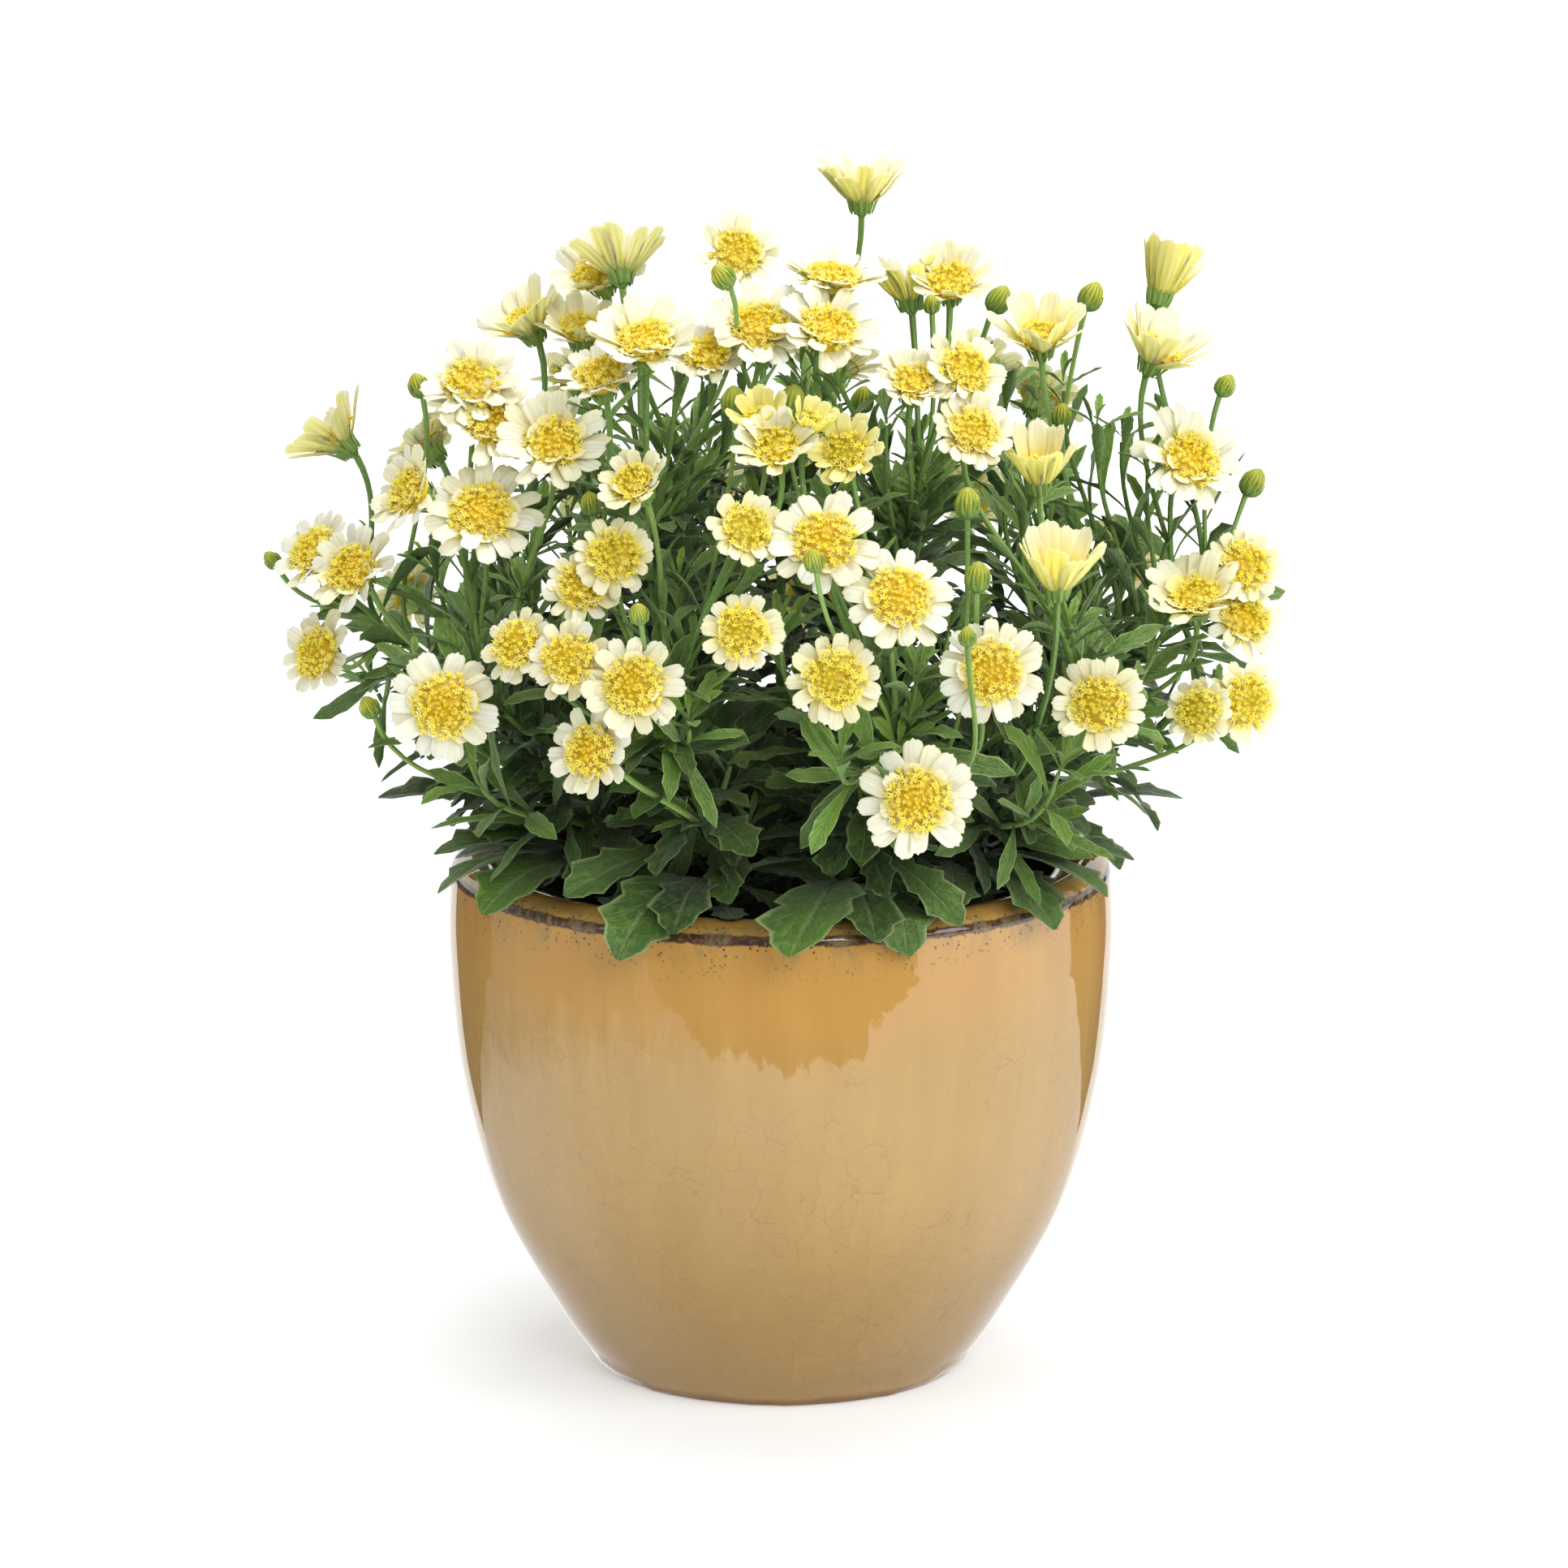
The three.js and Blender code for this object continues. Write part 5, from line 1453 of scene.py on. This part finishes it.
def add_head(sheaf, row, number):
    """A flower head on its stalk's end, and where it stands and faces."""
    across, height, front, turn, tip, spread, opened = row
    face = unit(facing(turn, tip) + (0, -NODS.get((across, height), 0.0), 0))
    at = spot_of(across, height, front)
    x = unit(np.cross((0.0, -1.0, 0.0) if abs(face[2]) > 0.95 else UP, face))
    spin = 2 * math.pi * draw(number, 3)
    cos, sin = math.cos(spin), math.sin(spin)
    basis = np.array(((cos, sin, 0), (-sin, cos, 0), (0, 0, 1)))
    basis = basis @ np.stack([x, np.cross(face, x), face])

    def place(points):
        return points @ basis + at

    youth = YOUNG_HEADS.get((across, height), float(np.clip((0.82 - opened) * 1.7, 0, 0.75)))
    # heads that look up are held a little more closed, so their far petals stand above the disc
    opened -= UPRIGHT_CUP * float(smooth(30, 52, tip) * smooth(0.55, 0.8, opened))
    spread *= BLOOM_GROWTH
    small = spread < SMALL_HEAD
    bloom = Bloom(sheaf, place, spread, opened, youth)
    bloom.add_petals(int(chance.integers(*FEW_PETALS if small or opened < 0.6 else PETAL_COUNTS)))
    if opened > 0.65 and not small:
        bloom.add_petals(int(chance.integers(*PETALOIDS)), inner=True)
    bloom.add_disc()
    bloom.add_calyx()
    return at, face


# ---------------------------------------------------------------- buds

BUD_SIDES, BUD_PETALS, BUD_BRACTS = 42, 14, 11
BUD_SWELL = (0.36, 0.74, 0.93, 1.0, 1.0, 0.98, 0.92, 0.8, 0.58, 0.16)


def add_bud(shoot, row):
    """A closed bud with the seams of its petals, and green bracts up its sides."""
    across, height, front, turn, tip, size = row
    face = facing(turn, tip)
    base = spot_of(across, height, front) - face * BUD_LENGTH * size / 2
    share = np.linspace(0, 1, len(BUD_SWELL))
    path = base + face * (share * BUD_LENGTH * size)[:, None]
    tone = float(draw(int(across) + 500, 11))
    radii, ribs = BUD_RADIUS * 0.9 * size * np.array(BUD_SWELL), (BUD_PETALS, 0.07)
    add_tube(shoot.sheaf, path, radii, BUD_SIDES, "bud_petal", *ribs, tone=tone)
    x = unit(np.cross((0.2, 0.4, 0.8), face))
    s, v = blade_shares(np.linspace(0, 1, 6), (-1.0, 0.0, 1.0), BUD_BRACTS)
    reach = chance.uniform(0.62, 0.8, (BUD_BRACTS, 1, 1))
    radius = np.interp(s * reach, share, BUD_SWELL) * BUD_RADIUS * 0.92 * size
    radius = radius + 0.35 + 0.3 * (1 - np.abs(v))
    half = 1.5 * size * (1 - smooth(0.3, 1.0, s) * 0.9)
    angle = round_angles(BUD_BRACTS)[:, None, None] + half * v / np.maximum(radius, 1)
    points = base + (radius * np.cos(angle))[..., None] * x
    points = points + (radius * np.sin(angle))[..., None] * np.cross(face, x)
    points = points + (s * reach * BUD_LENGTH * size - 0.3)[..., None] * face
    add_blades(
        shoot.sheaf, points[:, :, ::-1], 0.5, ("calyx", "calyx"), along=s, across=v, tone=tone
    )


# ---------------------------------------------------------------- the plant

BARE_STALK, STALK_LEAF_SIZES, BUD_LEAF_SIZES, TUFT = (42, 78), (10, 24), (8, 16), (34, 9)


def add_blooms():
    """All the flower heads, a piece for each node. Gives the ends of their stalks."""
    number, ends = 0, []
    for node, rows in HEADS.items():
        sheaf = Sheaf(node.replace("heads_", "blooms_").replace("head_", "bloom_"))
        for row in rows:
            number += 1
            at, face = add_head(sheaf, row, number)
            ends.append((at - face * (CALYX + SEAT), face, OWN_ROUTES.get(row[:2])))
        sheaf.piece("petals", node)
    return ends


def add_flower_stalks(ends):
    for end, face, own in ends:
        shoot, line = route_of(end, face, own)
        path = add_stalk(shoot, line, STALK_RADIUS)
        bare = apart(path[0], path[-1]) - chance.uniform(*BARE_STALK)
        add_leaves_along(shoot.sheaf, path, (4, bare), *STALK_LEAVES)
        for share in chance.uniform(0.3, 0.75, chance.integers(1, 3)):
            size = chance.uniform(*STALK_LEAF_SIZES) * (1.1 - share * 0.8)
            add_stalk_leaf(shoot.sheaf, path, share, size)


def add_buds():
    for row in BUDS:
        across, height, front, turn, tip, size = row
        face = facing(turn, tip)
        base = spot_of(across, height, front) - face * BUD_LENGTH * size / 2
        shoot, line = route_of(base, face, OWN_ROUTES.get((across, height)))
        path = add_stalk(shoot, line, STALK_RADIUS * 0.85)
        share, size = chance.uniform(0.2, 0.7), chance.uniform(*BUD_LEAF_SIZES)
        add_stalk_leaf(shoot.sheaf, path, share, size)
        add_bud(shoot, row)


stalk_ends = add_blooms()
for shoot in shoots:
    add_stem(shoot)
add_flower_stalks(stalk_ends)
add_buds()
add_framed_leaves()
add_filling_leaves()
add_side_twigs()
add_rising_twigs()
add_free_twigs()
for shoot in shoots:
    add_tuft(shoot.sheaf, shoot.at(0.99), shoot.way(0.99), *TUFT)
    shoot.sheaf.piece("foliage", shoot.name)

# ---------------------------------------------------------------- studio

FLOOR_RINGS, FLOOR_SPOKES = np.linspace(0.02, 1.5, 16), 64
SKY_LEVEL, GLOW_LEVEL, BACKDROP_LEVEL = 0.26, 1.0, 1.3
TABLE_LEVEL, SIDE_LEVEL, BACK_LEVEL = 1.85, 0.1, 1.1
AIM = (0, 0, 0.3)
# Panels of light: place, width and height, power.
PANELS = {
    "left_panel": ((-2.3, -1.8, 1.6), (1.6, 1.8), 15),
    "right_panel": ((2.2, -1.7, 1.7), (1.7, 1.8), 36),
    "front_panel": ((1.2, -4.1, 2.6), (2.2, 1.6), 74),
    "top_panel": ((0.1, 0.2, 2.9), (1.7, 1.5), 58),
}


def make_floor():
    mesh = bpy.data.meshes.new("studio_floor")
    angles = round_angles(FLOOR_SPOKES)
    points = [(r * math.cos(a), r * math.sin(a), 0.0) for r in FLOOR_RINGS for a in angles]
    faces = grid_faces(len(FLOOR_RINGS), FLOOR_SPOKES)[:, ::-1].tolist()
    mesh.from_pydata(points, [], [*faces, tuple(range(FLOOR_SPOKES))])
    mesh.materials.append(FINISHES["studio_floor"])
    floor = placed("studio_floor", mesh)
    floor.visible_glossy = False


def make_panels():
    for name, (place, size, power) in PANELS.items():
        data = bpy.data.lights.new(name, "AREA")
        data.shape, data.energy = "RECTANGLE", power
        data.size, data.size_y = size
        light = placed(name, data)
        light.location = place
        aim = (Vector(AIM) - Vector(place)).to_track_quat("-Z", "Y")
        light.rotation_euler = aim.to_euler()


def make_room():
    """Even soft light from above. A glaze mirrors a bright table with dark sides from below."""
    world = scene.world = bpy.data.worlds.new("studio")
    world.use_nodes = True
    r = Recipe(world.node_tree)
    way = r.node("TexCoord", output="Generated")
    x, y, z = (r.node("SeparateXYZ", {0: way}, output=axis) for axis in "XYZ")
    fall, turn = z * -1.0, x.maths("ARCTAN2", x.size(), y * -1.0)
    ragged = r.noise(r.stretched(way, 2.2), 7.0, 5.0, 0.72) - 0.5
    past_side = fall - turn * 0.2 + ragged * 0.03
    front = (turn + ragged * 0.16).fall(2.06, 2.08).most(past_side.ramp(-0.153, -0.149))
    front = front.most((fall + ragged * 0.03).ramp(0.354, 0.358))
    back = (turn + ragged * 0.1).ramp(2.68, 2.7)
    patch = (turn * 1.18) ** 3.0 + (fall * 2.6).most(0.0) ** 3.0 + ragged * 0.9
    shade = patch.fall(0.96, 1.0)
    dull = (x * -1.0).ramp(0.1, 0.6) * ((fall + ragged * 0.2).fall(0.28, 0.4) * 0.6 + 0.18)
    fading = (1.0 - fall.ramp(0.42, 1.05) * 0.8) * (1.0 - turn.ramp(1.7, 2.5) * 0.5)
    table = front * (1.0 - shade) * (1.0 - dull) * fading * TABLE_LEVEL
    below = table + back * (1.0 - front) * BACK_LEVEL + SIDE_LEVEL
    above = z.ramp(-0.02, 0.02)
    backdrop = y.ramp(0.15, 0.75) * z.fall(0.35, 0.75) * GLOW_LEVEL
    level = below * (1.0 - above) + above * (backdrop + SKY_LEVEL)
    seen = r.node("LightPath", output="Is Camera Ray")
    level = level * (1.0 - seen) + seen * BACKDROP_LEVEL
    r.finish_with(r.node("Background", {"Color": (1, 1, 1, 1), "Strength": level}), "OutputWorld")


make_floor()
make_room()
make_panels()
scene.view_settings.view_transform = "Standard"
